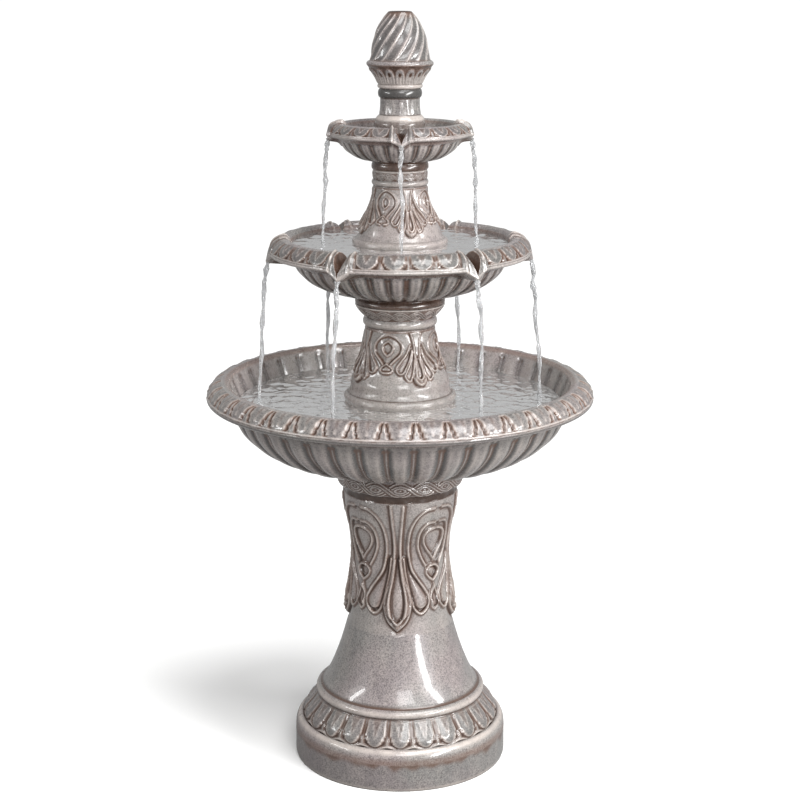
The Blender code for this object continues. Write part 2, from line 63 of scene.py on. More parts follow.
# How the loose pieces fit: the gap left at a seat, floor thicknesses and how deep a spigot drops
SEAT_GAP = 0.3
FLOOR_THICKNESS = 10
TOP_FLOOR_THICKNESS = 8
SPIGOT_DEPTH = 9
TOP_SPIGOT_DEPTH = 8

# Water levels, and where the streams leave their lips (radius, height) and land (radius)
BASIN_WATER = 557
MIDDLE_WATER = 790
TOP_WATER = 955
MIDDLE_LIP = (190, 766)
MIDDLE_REACH = 208
TOP_LIP = (102, 942)
TOP_REACH = 112

# Repeats of the cast ornament, and where each pattern starts
BASIN_LOBES = 40
PLINTH_EGGS = 24
BRAID_EYES = 16
MIDDLE_LOBES = 36
TOP_LOBES = 24
MIDDLE_SPOUTS = 6
TOP_SPOUTS = 4
MIDDLE_SPOUT_ANGLE = math.radians(33.5)
TOP_SPOUT_ANGLE = math.radians(1)
PEDESTAL_LEAF = math.radians(-3)
LOWER_LEAF = math.radians(26)
UPPER_LEAF = math.radians(16)
FINIAL_FLUTES = 15
FINIAL_ARCHES = 16
FINIAL_TWIST = math.radians(65)


# ---- outlines and relief

def smooth(value, low, high):
    """0 up to low, 1 from high on, and an S-curve between."""
    t = np.clip((value - low) / (high - low), 0, 1)
    return t * t * (3 - 2 * t)


def ridge(distance, width):
    return np.exp(-(distance / width) ** 2)


def trail(value, start, length):
    """1 up to start, then dying away over length."""
    return np.exp(-np.maximum(value - start, 0) / length)


def fade_ends(v, start, end):
    """1 along a stretch, easing to 0 over these shares of it at its start and its end."""
    return smooth(v, 0, start) * smooth(1 - v, 0, end)


def smooth_line(points, step):
    """A smooth curve through the points, with a sample about every step millimetres."""
    p = np.array(points, float)
    if len(p) > 2:
        gap = np.sqrt(np.linalg.norm(np.diff(p, axis=0), axis=1))[:, None]
        slope = np.diff(p, axis=0) / gap
        m = np.empty_like(p)
        m[1:-1] = (slope[:-1] * gap[1:] + slope[1:] * gap[:-1]) / (gap[:-1] + gap[1:])
        m[0], m[-1] = slope[0], slope[-1]
        u = np.linspace(0, 1, 16, endpoint=False)[:, None]
        bends = []
        for i in range(len(gap)):
            start = (2 * u**3 - 3 * u**2 + 1) * p[i] + (u**3 - 2 * u**2 + u) * gap[i] * m[i]
            end = (3 * u**2 - 2 * u**3) * p[i + 1] + (u**3 - u**2) * gap[i] * m[i + 1]
            bends.append(start + end)
        p = np.vstack(bends + [p[-1:]])
    lengths = np.concatenate([[0], np.cumsum(np.linalg.norm(np.diff(p, axis=0), axis=1))])
    count = max(int(round(lengths[-1] / step)), 1)
    at = np.linspace(0, lengths[-1], count + 1)
    return np.stack([np.interp(at, lengths, p[:, k]) for k in (0, 1)], axis=1)


def even_angles(count):
    return np.arange(count) * 2 * math.pi / count


def crowded_angles(repeats, per_repeat):
    """Angles that crowd together half-way between one repeat's middle and the next."""
    angle = even_angles(repeats * per_repeat)
    return angle + 0.45 * np.sin(repeats * angle) / repeats


def spout_angles(spouts, first, per_sector, crowding=0.45):
    """Angles that crowd together at each spout."""
    sector = 2 * math.pi / spouts
    u = np.arange(per_sector) / per_sector
    within = sector * (u - crowding * np.sin(2 * math.pi * u) / (2 * math.pi))
    return np.concatenate([first + i * sector + within for i in range(spouts)])


def repeat_position(angle, count, start=0.0):
    """Where an angle lies across its repeat: -0.5 to 0.5, 0 in the middle."""
    return (((angle - start) * count / (2 * math.pi) + 0.5) % 1) - 0.5


class Turning:
    """A closed outline turned round the axis on a fine grid, which relief raises or cuts.

    Each named stretch of the outline keeps its rows, so that ornament is laid on it alone.
    """

    def __init__(self, stretches, angles):
        self.angle = angles[None, :]
        self.rows = {}
        lines = []
        start = 0
        for name, points, step in stretches:
            line = smooth_line(points, step)[:-1]
            self.rows[name] = slice(start, start + len(line))
            start += len(line)
            lines.append(line)
        outline = np.vstack(lines)
        self.radius = outline[:, :1]
        self.height = outline[:, 1:]
        tangent = np.roll(outline, -1, 0) - np.roll(outline, 1, 0)
        tangent /= np.linalg.norm(tangent, axis=1)[:, None] + 1e-9
        self.out = tangent[:, 1:]
        self.up = -tangent[:, :1]
        self.relief = np.zeros((len(outline), len(angles)))
        self.rust = np.zeros_like(self.relief)
        self.cream = np.zeros_like(self.relief)
        self.shade = np.zeros_like(self.relief)

    def along(self, name):
        """0 to 1 along a stretch, as a column."""
        rows = self.rows[name]
        count = rows.stop - rows.start
        return ((np.arange(count) + 0.5) / count)[:, None]

    def raise_relief(self, name, amount):
        self.relief[self.rows[name]] += amount

    def dress(self, name, height, rust, pale):
        self.raise_relief(name, height)
        self.stain(name, rust)
        self.lighten(name, pale)

    def mark(self, mask, name, amount):
        rows = self.rows[name]
        mask[rows] = np.maximum(mask[rows], amount)

    def stain(self, name, amount):
        self.mark(self.rust, name, amount)

    def lighten(self, name, amount):
        self.mark(self.cream, name, amount)

    def darken(self, name, amount):
        self.mark(self.shade, name, amount)

    def points(self, reshape=None):
        r = self.radius + self.out * self.relief
        z = self.height + self.up * self.relief
        if reshape:
            r, z = reshape(r, z)
        return np.stack([r * np.sin(self.angle), -r * np.cos(self.angle), z], axis=2)


def add_object(name, data):
    thing = bpy.data.objects.new(name, data)
    bpy.context.scene.collection.objects.link(thing)
    return thing


def link_piece(name, mesh, material, body):
    mesh.shade_smooth()
    mesh.materials.append(material)
    piece = add_object(name, mesh)
    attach(piece, body)
    return piece


def bulge(points, reach):
    """How far each grid point stands out from the points around it, in millimetres."""
    across = np.roll(points, 1, 1) - np.roll(points, -1, 1)
    along = np.roll(points, -1, 0) - np.roll(points, 1, 0)
    normal = np.cross(along, across)
    normal /= np.linalg.norm(normal, axis=2)[:, :, None] + 1e-9
    around = np.zeros_like(points)
    for axis in (0, 1):
        around += np.roll(points, reach, axis) + np.roll(points, -reach, axis)
    return ((points - around / 4) * normal).sum(axis=2)


def cast_piece(turning, node, body, material, reshape=None):
    """Makes the mesh of a turned casting, with its glaze masks, and puts it in its node's place."""
    name = f"{body}_casting"
    points = turning.points(reshape)
    stands_out = bulge(points, 2)
    rows, columns = stands_out.shape
    index = np.arange(rows * columns).reshape(rows, columns)
    right = np.roll(index, -1, 1)
    above = np.roll(index, -1, 0)
    above_right = np.roll(right, -1, 0)
    faces = np.stack([index, right, above_right, above], axis=2).reshape(-1, 4)
    mesh = bpy.data.meshes.new(name)
    mesh.from_pydata((points.reshape(-1, 3) * MM).tolist(), [], faces.tolist())
    masks = {
        "cream": np.maximum(turning.cream, 0.75 * smooth(stands_out, 0.25, 0.9)),
        "rust": np.maximum(turning.rust, 0.55 * smooth(-stands_out, 0.12, 0.55)),
        "shade": np.maximum(turning.shade, 0.9 * smooth(-stands_out, 0.04, 0.40)),
    }
    for mask, values in masks.items():
        attribute = mesh.attributes.new(mask, "FLOAT", "POINT")
        attribute.data.foreach_set("value", values.astype(np.float32).ravel())
    if turning.radius.min() < 0.01:
        bm = bmesh.new()
        bm.from_mesh(mesh)
        middle = [v for v in bm.verts if v.co.x**2 + v.co.y**2 < 1e-10]
        bmesh.ops.remove_doubles(bm, verts=middle, dist=1e-5)
        bmesh.ops.dissolve_degenerate(bm, edges=bm.edges, dist=1e-6)
        bm.to_mesh(mesh)
        bm.free()
    piece = link_piece(name, mesh, material, body)
    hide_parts(node)


# ---- ornament

def lobes(angle, count, depth, start=0.0):
    """Round lobes with a thin fillet in each valley: 0 on a lobe's crown, down to -depth between two."""
    u = 2 * np.abs(repeat_position(angle, count, start))
    fillet = 0.42 * depth * ridge(1 - u, 0.085)
    return depth * (np.sqrt(np.maximum(1.03 - u * u, 0)) - 1.015) + fillet


def egg_and_dart(u, v, pitch, top=0.365, scalloped=0.0, rounded=False):
    """Eggs with a raised outline, set between darts that widen towards their feet.

    u runs -0.5 to 0.5 across a repeat, v from 0 at the open end to 1 at the foot of the band.
    Rounded eggs end inside the band; the others are cut off by its foot.
    Returns the height in millimetres, and how rusty and how pale the glaze is.
    """
    scale = pitch / 40
    side = np.abs(u)
    foot_line = 0.90 + scalloped * np.cos(2 * math.pi * u)
    foot = 0.185
    egg_edge = top - (top - foot) * np.clip(v, 0, 1) ** 1.7
    from_egg = side - egg_edge
    from_dart = 0.48 - 0.13 * np.clip(v, 0, 1) ** 2 - side
    vein_top, vein_end = 0.085, 0.78
    if rounded:
        egg_edge = top * (1 - 0.14 * np.clip(v, 0, 1))
        from_dart = 0.48 - 0.05 * np.clip(v, 0, 1) - side
        from_egg = 0.5 * top * ((side / egg_edge) ** 2 + (np.clip(v, 0, 1.1) / 0.88) ** 4 - 1)
        vein_top, vein_end = 0.19, 0.66
    in_band = smooth(foot_line - v, 0.0, 0.05)
    groove = smooth(from_egg, 0.012, 0.045) * smooth(from_dart, 0.0, 0.035) * in_band
    border = ridge(from_egg, 0.030) * in_band
    keel = ridge(from_dart, 0.026) * in_band * (not rounded)
    crown = np.maximum(1 - (u / (egg_edge + 0.02)) ** 2, 0) * smooth(-from_egg, 0, 0.05)
    from_vein = side - vein_top * np.clip(1 - v / vein_end, 0, 1)
    vein = ridge(from_vein, 0.028) * smooth(vein_end + 0.02 - v, 0, 0.08) * smooth(v, 0.02, 0.08)
    hem = ridge(v - foot_line - 0.03, 0.045)
    below = smooth(v, foot_line + 0.05, foot_line + 0.09) if scalloped else 0
    raised = 1.1 * border + 0.3 * keel + 1.2 * crown + 0.8 * vein + 1.2 * hem
    height = scale * (raised - 2.0 * groove - 2.8 * below)
    inside_vein = smooth(-from_vein, 0.02, 0.05) * smooth(vein_end - v, 0, 0.2)
    stroke = smooth(from_egg, 0.0, 0.03) * smooth(from_dart, -0.01, 0.02) * in_band
    rust = np.maximum(np.maximum(stroke * (1 - 0.7 * border), 0.25 * inside_vein), below)
    return height, rust, np.maximum(np.maximum(border, 0.8 * vein), np.maximum(0.8 * keel, hem))


def braid(angle, v):
    """Two strands that cross in each repeat, with an eye between; v is 0 at the bottom, 1 at the top."""
    u = angle * BRAID_EYES / (2 * math.pi)
    swing = 0.33 * np.cos(math.pi * u)
    steep = 0.33 * math.pi * np.sin(math.pi * u)
    lean = np.sqrt(1 + (0.55 * steep) ** 2)
    falls = steep > 0
    over_line = np.where(falls, 0.5 + swing, 0.5 - swing)
    under_line = np.where(falls, 0.5 - swing, 0.5 + swing)
    from_over = np.abs(v - over_line) / lean
    from_under = np.abs(v - under_line) / lean
    crossing = smooth(np.abs(repeat_position(2 * math.pi * (u - 0.5), 1)), 0.34, 0.16)
    over = ridge(from_over - 0.085, 0.045)
    covered = crossing * smooth(0.20 - from_over, -0.04, 0.03)
    under = ridge(from_under - 0.085, 0.045) * (1 - covered)
    eye_u = repeat_position(2 * math.pi * u, 1)
    from_eye = np.sqrt((eye_u / 0.20) ** 2 + ((v - 0.5) / 0.13) ** 2)
    eye = ridge(from_eye - 1, 0.30) + 0.8 * ridge(from_eye, 0.35)
    return np.maximum(np.maximum(over, under), 0.8 * eye)


# Strokes of the cast ornament, drawn on half of one repeat. Each has the side on which it is
# undercut (1 left, -1 right, 0 neither, looking along it) and its points: degrees from the
# leaf's middle, and 0 at the leaf's tip to 1 at the top.
LEAF_STROKES = [
    (1, [(7.5, 1.0), (5.5, 0.86), (3.6, 0.70), (4, 0.54), (7.5, 0.40), (13, 0.26), (14.5, 0.17),
         (10, 0.07), (0, 0.0)]),
    (-1, [(2.6, 0.56), (5, 0.42), (8.5, 0.28), (9, 0.18), (6, 0.09), (0, 0.05)]),
    (-1, [(13, 0.56), (16, 0.47), (22, 0.40), (31, 0.31), (36.5, 0.23), (34, 0.16), (27, 0.125),
          (20, 0.16), (15.5, 0.24), (12, 0.34), (8.5, 0.46), (6.8, 0.57)]),
    (1, [(45, 0.965), (34, 0.955), (24, 0.91), (16.5, 0.83), (13, 0.74), (12, 0.64), (13, 0.56)]),
    (1, [(45, 0.85), (36, 0.845), (29, 0.81), (24.5, 0.75), (23, 0.67), (26, 0.585), (32, 0.50)]),
    (1, [(45, 0.795), (38, 0.785), (32, 0.755), (30, 0.70), (33, 0.64), (39, 0.58), (44, 0.52)]),
    (1, [(45, 0.49), (38, 0.485), (33, 0.45), (36, 0.405), (42, 0.37)]),
    (0, [(45, 0.53), (44.5, 0.42), (45, 0.33)]),
    (1, [(45, 0.36), (41, 0.30), (39, 0.23), (41, 0.165), (45, 0.14)]),
]
LEAF_PETALS = [
    ((0, 0.60), (0, 0.17), 3, 13.5), ((0, 0.20), (0, 0.03), 11, 2.5), ((9, 0.55), (27, 0.22), 3, 8.5),
    ((45, 0.36), (45, 0.20), 3, 5.5),
]
FAN_STROKES = [
    (1, [(8, 1.0), (5, 0.82), (4, 0.62), (4.5, 0.42), (8, 0.24), (8.5, 0.12), (5, 0.03), (0, 0.0)]),
    (-1, [(1.5, 0.50), (3.5, 0.34), (4.5, 0.20), (3, 0.12), (0, 0.09)]),
    (-1, [(6, 0.62), (10, 0.44), (16, 0.29), (20, 0.18), (18, 0.10), (13.5, 0.09), (10.5, 0.17),
          (7.5, 0.31), (5, 0.48)]),
    (-1, [(9, 0.76), (15, 0.58), (24, 0.43), (30, 0.32), (28.5, 0.23), (23, 0.22), (17, 0.33),
          (11, 0.49), (7, 0.66)]),
    (1, [(45, 0.95), (34, 0.93), (25, 0.86), (20, 0.74), (22, 0.60), (31, 0.48), (38, 0.39)]),
    (1, [(45, 0.84), (37, 0.81), (32, 0.73), (34, 0.63), (40, 0.56), (45, 0.52)]),
    (0, [(45, 0.55), (45, 0.36)]),
    (1, [(45, 0.42), (40, 0.37), (36, 0.30), (39, 0.245), (45, 0.23)]),
]
FAN_PETALS = [
    ((0, 0.55), (0, 0.12), 3, 8), ((6, 0.55), (16, 0.17), 2.5, 5), ((9, 0.65), (25, 0.29), 2.5, 6),
    ((45, 0.45), (44, 0.30), 3, 6),
]


def signed_distance(x, y, line):
    """Distance from each (x, y) to a chain of points, and how far it lies to the chain's left."""
    best = np.full(np.broadcast(x, y).shape, 1e9)
    left = np.zeros_like(best)
    for (x0, y0), (x1, y1) in zip(line[:-1], line[1:]):
        dx, dy = x1 - x0, y1 - y0
        t = np.clip(((x - x0) * dx + (y - y0) * dy) / (dx * dx + dy * dy + 1e-9), 0, 1)
        away = np.hypot(x - x0 - t * dx, y - y0 - t * dy)
        nearer = away < best
        best = np.where(nearer, away, best)
        left = np.where(nearer, np.sign(dx * (y - y0) - dy * (x - x0)) * away, left)
    return best, left


def leaf_and_loop(angle, height, radius, low, high, rib, stand_out, strokes, petals):
    """Four leaves with a looped scroll between each two, between two heights on a column.

    The ornament is drawn once on a half sector of 45 degrees, then mirrored and repeated.
    Returns the height in millimetres, and how rusty and how pale the glaze is.
    """
    folded = np.abs(repeat_position(angle, 4)) * 90
    half = np.linspace(0, 45, 91)[None, :]
    along = (height - low) / (high - low)
    across_mm = math.radians(1) * float(np.mean(radius))
    tall = high - low
    x = half * math.radians(1) * radius
    y = along * tall
    names = ("ridge", "shoulder", "groove", "stain", "lift")
    fields = {name: np.zeros((len(height), half.shape[1])) for name in names}
    for side, line in strokes:
        bent = smooth_line([(a * across_mm, v * tall) for a, v in line], 1.6 * rib)
        away, left = signed_distance(x, y, bent)
        beside = np.exp(-((away - np.abs(left)) / rib) ** 2)
        under = side * left / rib
        off = np.abs(left) / rib
        strength, tail = np.where(under > 0, 1.0, 0.6), np.where(under > 0, 1.1, 0.4)
        made = {
            "ridge": ridge(away, 0.95 * rib),
            "shoulder": np.exp(-away / (3.0 * rib)) * (under <= 0),
            "groove": abs(side) * beside * smooth(under, 0.3, 1.6) * trail(under, 1.6, 3.2),
            "stain": strength * beside * smooth(off, 0.3, 0.9) * trail(off, 1.3, tail),
        }
        for name, drawn in made.items():
            fields[name] = np.maximum(fields[name], drawn)
    for (a0, v0), (a1, v1), w0, w1 in petals:
        x0, x1, y0, y1 = a0 * across_mm, a1 * across_mm, v0 * tall, v1 * tall
        dx, dy = x1 - x0, y1 - y0
        t = np.clip(((x - x0) * dx + (y - y0) * dy) / (dx * dx + dy * dy), 0, 1)
        width = (w0 + (w1 - w0) * t**1.3) * across_mm
        inside = smooth(width - np.hypot(x - x0 - t * dx, y - y0 - t * dy), -0.6 * rib, 0.9 * rib)
        fields["lift"] = np.maximum(fields["lift"], inside * smooth(along, 0.60, 0.15))
    fade = smooth(along, -0.06, -0.01) * smooth(1.03 - along, 0, 0.03)
    bold = 0.62 + 0.38 * smooth(along, 0.85, 0.35)
    crest = 1.25 * fields["ridge"] + 0.75 * fields["shoulder"]
    shape = rib * bold * (crest - 1.75 * fields["groove"] * (1 - fields["ridge"]))
    drawn = (
        (shape + fields["lift"] * stand_out) * fade,
        1.35 * fields["stain"] * (1 - 0.6 * fields["ridge"]) * fade * np.sqrt(bold),
        fields["ridge"] * fade * bold,
    )
    columns = np.interp(folded[0], half[0], np.arange(half.shape[1]))
    whole = np.floor(columns).astype(int)
    after = np.minimum(whole + 1, half.shape[1] - 1)
    part = (columns - whole)[None, :]
    return tuple(field[:, whole] * (1 - part) + field[:, after] * part for field in drawn)


def slow_noise(angle, height, seed):
    """A wandering pattern, nine waves added up, that closes round the ring."""
    rng = np.random.default_rng(seed)
    total = 0
    for _ in range(9):
        count = rng.integers(3, 40)
        phase, rise = rng.uniform(0, 2 * math.pi), rng.uniform(-1, 1) * 2 * math.pi / 60
        total = total + np.sin(count * angle + rise * height + phase)
    return total / 3


# ---- materials

class Nodes:
    """Short calls for building a material's node tree."""

    def __init__(self, name):
        self.material = bpy.data.materials.new(name)
        self.material.use_nodes = True
        self.tree = self.material.node_tree
        self.shader = self.tree.nodes["Principled BSDF"]

    def link(self, source, target):
        self.tree.links.new(source, target)

    def feed(self, socket, value):
        """Puts a number or a colour in a socket, or links another node's output to it."""
        if isinstance(value, tuple):
            socket.default_value = (*value, 1)
        elif isinstance(value, (int, float)):
            socket.default_value = value
        else:
            self.link(value, socket)

    def add(self, kind, **settings):
        node = self.tree.nodes.new(kind)
        for key, value in settings.items():
            setattr(node, key, value)
        return node

    def position(self, scale=(1, 1, 1)):
        coordinates = self.add("ShaderNodeTexCoord")
        mapping = self.add("ShaderNodeMapping")
        mapping.inputs["Scale"].default_value = scale
        self.link(coordinates.outputs["Object"], mapping.inputs["Vector"])
        return mapping.outputs["Vector"]

    def noise(self, scale, detail=3.0, roughness=0.5, stretch=(1, 1, 1)):
        noise = self.add("ShaderNodeTexNoise")
        for key, value in (("Scale", scale), ("Detail", detail), ("Roughness", roughness)):
            noise.inputs[key].default_value = value
        self.link(self.position(stretch), noise.inputs["Vector"])
        return noise.outputs["Fac"]

    def attribute(self, name):
        return self.add("ShaderNodeAttribute", attribute_name=name).outputs["Fac"]

    def ramp(self, factor, low, high, to_low=0.0, to_high=1.0):
        node = self.add("ShaderNodeMapRange")
        for key, value in (("From Min", low), ("From Max", high), ("To Min", to_low), ("To Max", to_high)):
            node.inputs[key].default_value = value
        self.link(factor, node.inputs["Value"])
        return node.outputs["Result"]

    def multiply(self, a, b):
        node = self.add("ShaderNodeMath", operation="MULTIPLY", use_clamp=True)
        self.feed(node.inputs[0], a)
        self.feed(node.inputs[1], b)
        return node.outputs[0]

    def mix(self, factor, first, second):
        node = self.add("ShaderNodeMix", data_type="RGBA")
        self.feed(node.inputs[0], factor)
        self.feed(node.inputs[6], first)
        self.feed(node.inputs[7], second)
        return node.outputs[2]

    def bump(self, height, distance, strength=1.0, after=None):
        node = self.add("ShaderNodeBump")
        node.inputs["Strength"].default_value = strength
        node.inputs["Distance"].default_value = distance
        self.link(height, node.inputs["Height"])
        if after:
            self.link(after, node.inputs["Normal"])
        return node.outputs["Normal"]

    def set(self, **values):
        for key, value in values.items():
            self.feed(self.shader.inputs[key.replace("_", " ")], value)
        return self.material


def make_glaze(name, pink, green, cream, rust, gloss):
    """Speckled reactive glaze: pale where it breaks on edges, rust where it pools, with painted highlights
    carried by the cream mask on the lobes and painted shade from the shade mask in hollows and valleys.
    """
    n = Nodes(name)
    drift = n.ramp(n.noise(9, 2.0), 0.42, 0.58)
    body = n.mix(drift, pink, green)
    runs = n.ramp(n.noise(55, 3.0, 0.6, (1, 1, 0.25)), 0.35, 0.70)
    body = n.mix(n.multiply(runs, 0.22), body, cream)
    pale_fleck = n.ramp(n.noise(420, 1.0, 0.5), 0.55, 0.72)
    body = n.mix(n.multiply(pale_fleck, 0.30), body, cream)
    speckle = n.ramp(n.noise(480, 2.0, 0.75), 0.47, 0.62)
    body = n.mix(n.multiply(speckle, 0.80), body, tuple(c * 0.30 for c in pink))
    patchy = n.ramp(n.noise(45, 3.0, 0.6), 0.30, 0.62, 0.50, 1.0)
    # Cream: pale glaze where it breaks on edges, and painted highlights beside the lobes' crowns.
    body = n.mix(n.multiply(n.attribute("cream"), n.multiply(patchy, 0.9)), body, cream)
    body = n.mix(n.multiply(n.attribute("shade"), 0.90), body, tuple(c * 0.18 for c in green))
    stain = n.multiply(n.attribute("rust"), n.ramp(n.noise(70, 3.0, 0.6), 0.25, 0.60, 0.78, 1.0))
    dark = n.mix(n.ramp(stain, 0.55, 0.92), rust, tuple(c * 0.32 for c in rust))
    body = n.mix(n.multiply(stain, 0.95), body, dark)
    rough = n.ramp(n.noise(90, 2.0), 0.3, 0.7, gloss, gloss + 0.12)
    skin = n.bump(n.noise(60, 2.0), 0.0003, 0.3)
    skin = n.bump(n.noise(700, 1.0), 0.00005, 0.3, skin)
    return n.set(Base_Color=body, Roughness=rough, Normal=skin, Coat_Weight=0.45, Coat_Roughness=0.04)


def make_plain(name, colour, second, rough, metallic=0.0, grain=300, stretch=(1, 1, 1), depth=0.0001):
    """A moulded, cast or drawn surface: two close tones, uneven gloss and a fine grain."""
    n = Nodes(name)
    pattern = n.noise(grain, 3.0, 0.6, stretch)
    body = n.mix(n.ramp(pattern, 0.35, 0.65), colour, second)
    shine = n.ramp(n.noise(grain * 0.3, 2.0), 0.3, 0.7, rough, rough + 0.12)
    return n.set(Base_Color=body, Roughness=shine, Metallic=metallic, Normal=n.bump(pattern, depth, 0.6))


def make_water(name, deep, clear):
    n = Nodes(name)
    tint = n.mix(n.ramp(n.noise(40, 2.0), 0.3, 0.7), deep, clear)
    skin = n.bump(n.noise(160, 2.0), 0.0008, 0.5)
    return n.set(Base_Color=tint, Roughness=0.04, IOR=1.33, Transmission_Weight=0.93, Normal=skin)


def make_falling_water(name):
    """Aerated water: greyer and less clear than the pools, with streaks along its fall."""
    n = Nodes(name)
    streaks = n.ramp(n.noise(420, 2.0, 0.6, (1, 1, 0.12)), 0.40, 0.62)
    tint = n.mix(streaks, (0.66, 0.67, 0.68), (0.96, 0.96, 0.97))
    skin = n.bump(n.noise(300, 2.0, 0.5, (1, 1, 0.3)), 0.0012, 0.6)
    return n.set(Base_Color=tint, Roughness=0.10, IOR=1.2, Transmission_Weight=0.78, Normal=skin)


GLAZE = make_glaze(
    "speckled_glaze", pink=(0.212, 0.184, 0.184), green=(0.204, 0.197, 0.188), cream=(0.52, 0.46, 0.42),
    rust=(0.125, 0.050, 0.022), gloss=0.22,
)
PLINTH_GLAZE = make_glaze(
    "plinth_glaze", pink=(0.21, 0.182, 0.182), green=(0.196, 0.190, 0.182), cream=(0.50, 0.44, 0.40),
    rust=(0.105, 0.043, 0.020), gloss=0.25,
)
WATER = make_water("water", (0.70, 0.72, 0.72), (0.84, 0.86, 0.86))
# Painted shade: the same water as in the basin, tinted darker for the middle and top bowls.
SHADED_BOWL_WATER = make_water("shaded_bowl_water", (0.38, 0.38, 0.39), (0.58, 0.59, 0.60))
FALLING_WATER = make_falling_water("falling_water")


# ---- castings

def make_pedestal():
    top = BASIN_SEAT
    outline = [
        ("plinth", [(FOOT_RADIUS - 1, 0), (FOOT_RADIUS, 3), (FOOT_RADIUS, 24), (FOOT_RADIUS, 43)], 3.0),
        ("shoulder", [(FOOT_RADIUS, 43), (160, 52), (156.5, 59.5), (152, 62.5), (148.5, 61),
                      (147, 58)], 1.2),
        ("cove", [(147, 60), (147.5, 66), (146, 72), (140, 80.5), (133, 89), (127, 96.5)], 1.1),
        ("bead", [(123.5, 98), (128, 101), (128.5, 106), (125, 110.5), (120.5, 112)], 1.1),
        ("flare", [(119.5, 112.8), (113.5, 122), (107.5, 133), (101.5, 147), (95.5, 162.5), (89.3, 181),
                   (84, 199), (80, 214)], 2.6),
        ("waist", [(80, 214), (77, 235), (75.5, 253), (72.8, 275), (70.9, 300), (70.9, 320), (72, 336),
                   (74, 355), (78, 374), (81.5, 387), (84, 400), (85, 409), (85.5, 420)], 1.55),
        ("hollow", [(85.5, 420), (86, 427), (88.5, 430.5)], 1.4),
        ("collar", [(88.5, 430.5), (92.5, 434), (94, 441), (94, 448), (92, top - 1)], 0.9),
        ("lip", [(92, top - 1), (91, top), (83, top)], 2.5),
        ("inside", [(83, top), (82, 436), (74, 420), (72, 392), (62, 345), (61, 300), (66, 253),
                    (79, 181), (94, 142), (113, 104), (118, 90), (140, 52), (148, 0)], 9.0),
        ("foot", [(148, 0), (FOOT_RADIUS - 1, 0)], 5.0),
    ]
    t = Turning(outline, even_angles(384))
    angle = t.angle
    u = repeat_position(angle, PLINTH_EGGS)
    height, rust, pale = egg_and_dart(u, 0.98 - t.along("cove"), 37, 0.41, scalloped=0.055, rounded=True)
    t.dress("cove", height, rust, 0.7 * pale)
    t.darken("cove", 0.45 * (1 - pale))
    rows = t.rows["waist"]
    height, rust, pale = leaf_and_loop(
        angle - PEDESTAL_LEAF, t.height[rows], t.radius[rows], 221, 415, 2.1, 5.5, LEAF_STROKES, LEAF_PETALS
    )
    t.dress("waist", height, rust, 0.20 + 0.40 * pale)
    v = t.along("collar")
    inner = smooth(v, 0.02, 0.12) * smooth(1 - v, 0.02, 0.12)
    height = braid(angle, v) * inner
    t.raise_relief("collar", 1.9 * height - 0.9)
    inner = smooth(v, 0.1, 0.2) * smooth(1 - v, 0.1, 0.2)
    t.stain("collar", 0.85 * smooth(0.42 - height, 0, 0.3) * inner)
    wave = 1.2 * np.sin(angle * BRAID_EYES + 1.0) * (1 - t.along("hollow"))
    t.raise_relief("hollow", wave - 1.0)
    t.stain("hollow", 1.0)
    t.darken("hollow", 0.8)
    height = t.height[t.rows["plinth"]]
    drip = smooth(height + 3 * slow_noise(angle, height, 3), 33, 44)
    t.stain("plinth", 0.85 * drip)
    t.darken("plinth", 0.30 + 0.35 * drip)
    v = t.along("shoulder")
    t.stain("shoulder", 0.55 * smooth(0.42 - v, 0, 0.35))
    t.stain("shoulder", 0.9 * smooth(v, 0.80, 0.95))
    t.lighten("shoulder", 0.8 * ridge(v - 0.62, 0.16))
    t.lighten("bead", 0.7 * ridge(t.along("bead") - 0.5, 0.25))
    t.stain("bead", 0.55 * smooth(0.15 - t.along("bead"), 0, 0.12))
    cast_piece(t, "pedestal", "pedestal", PLINTH_GLAZE)


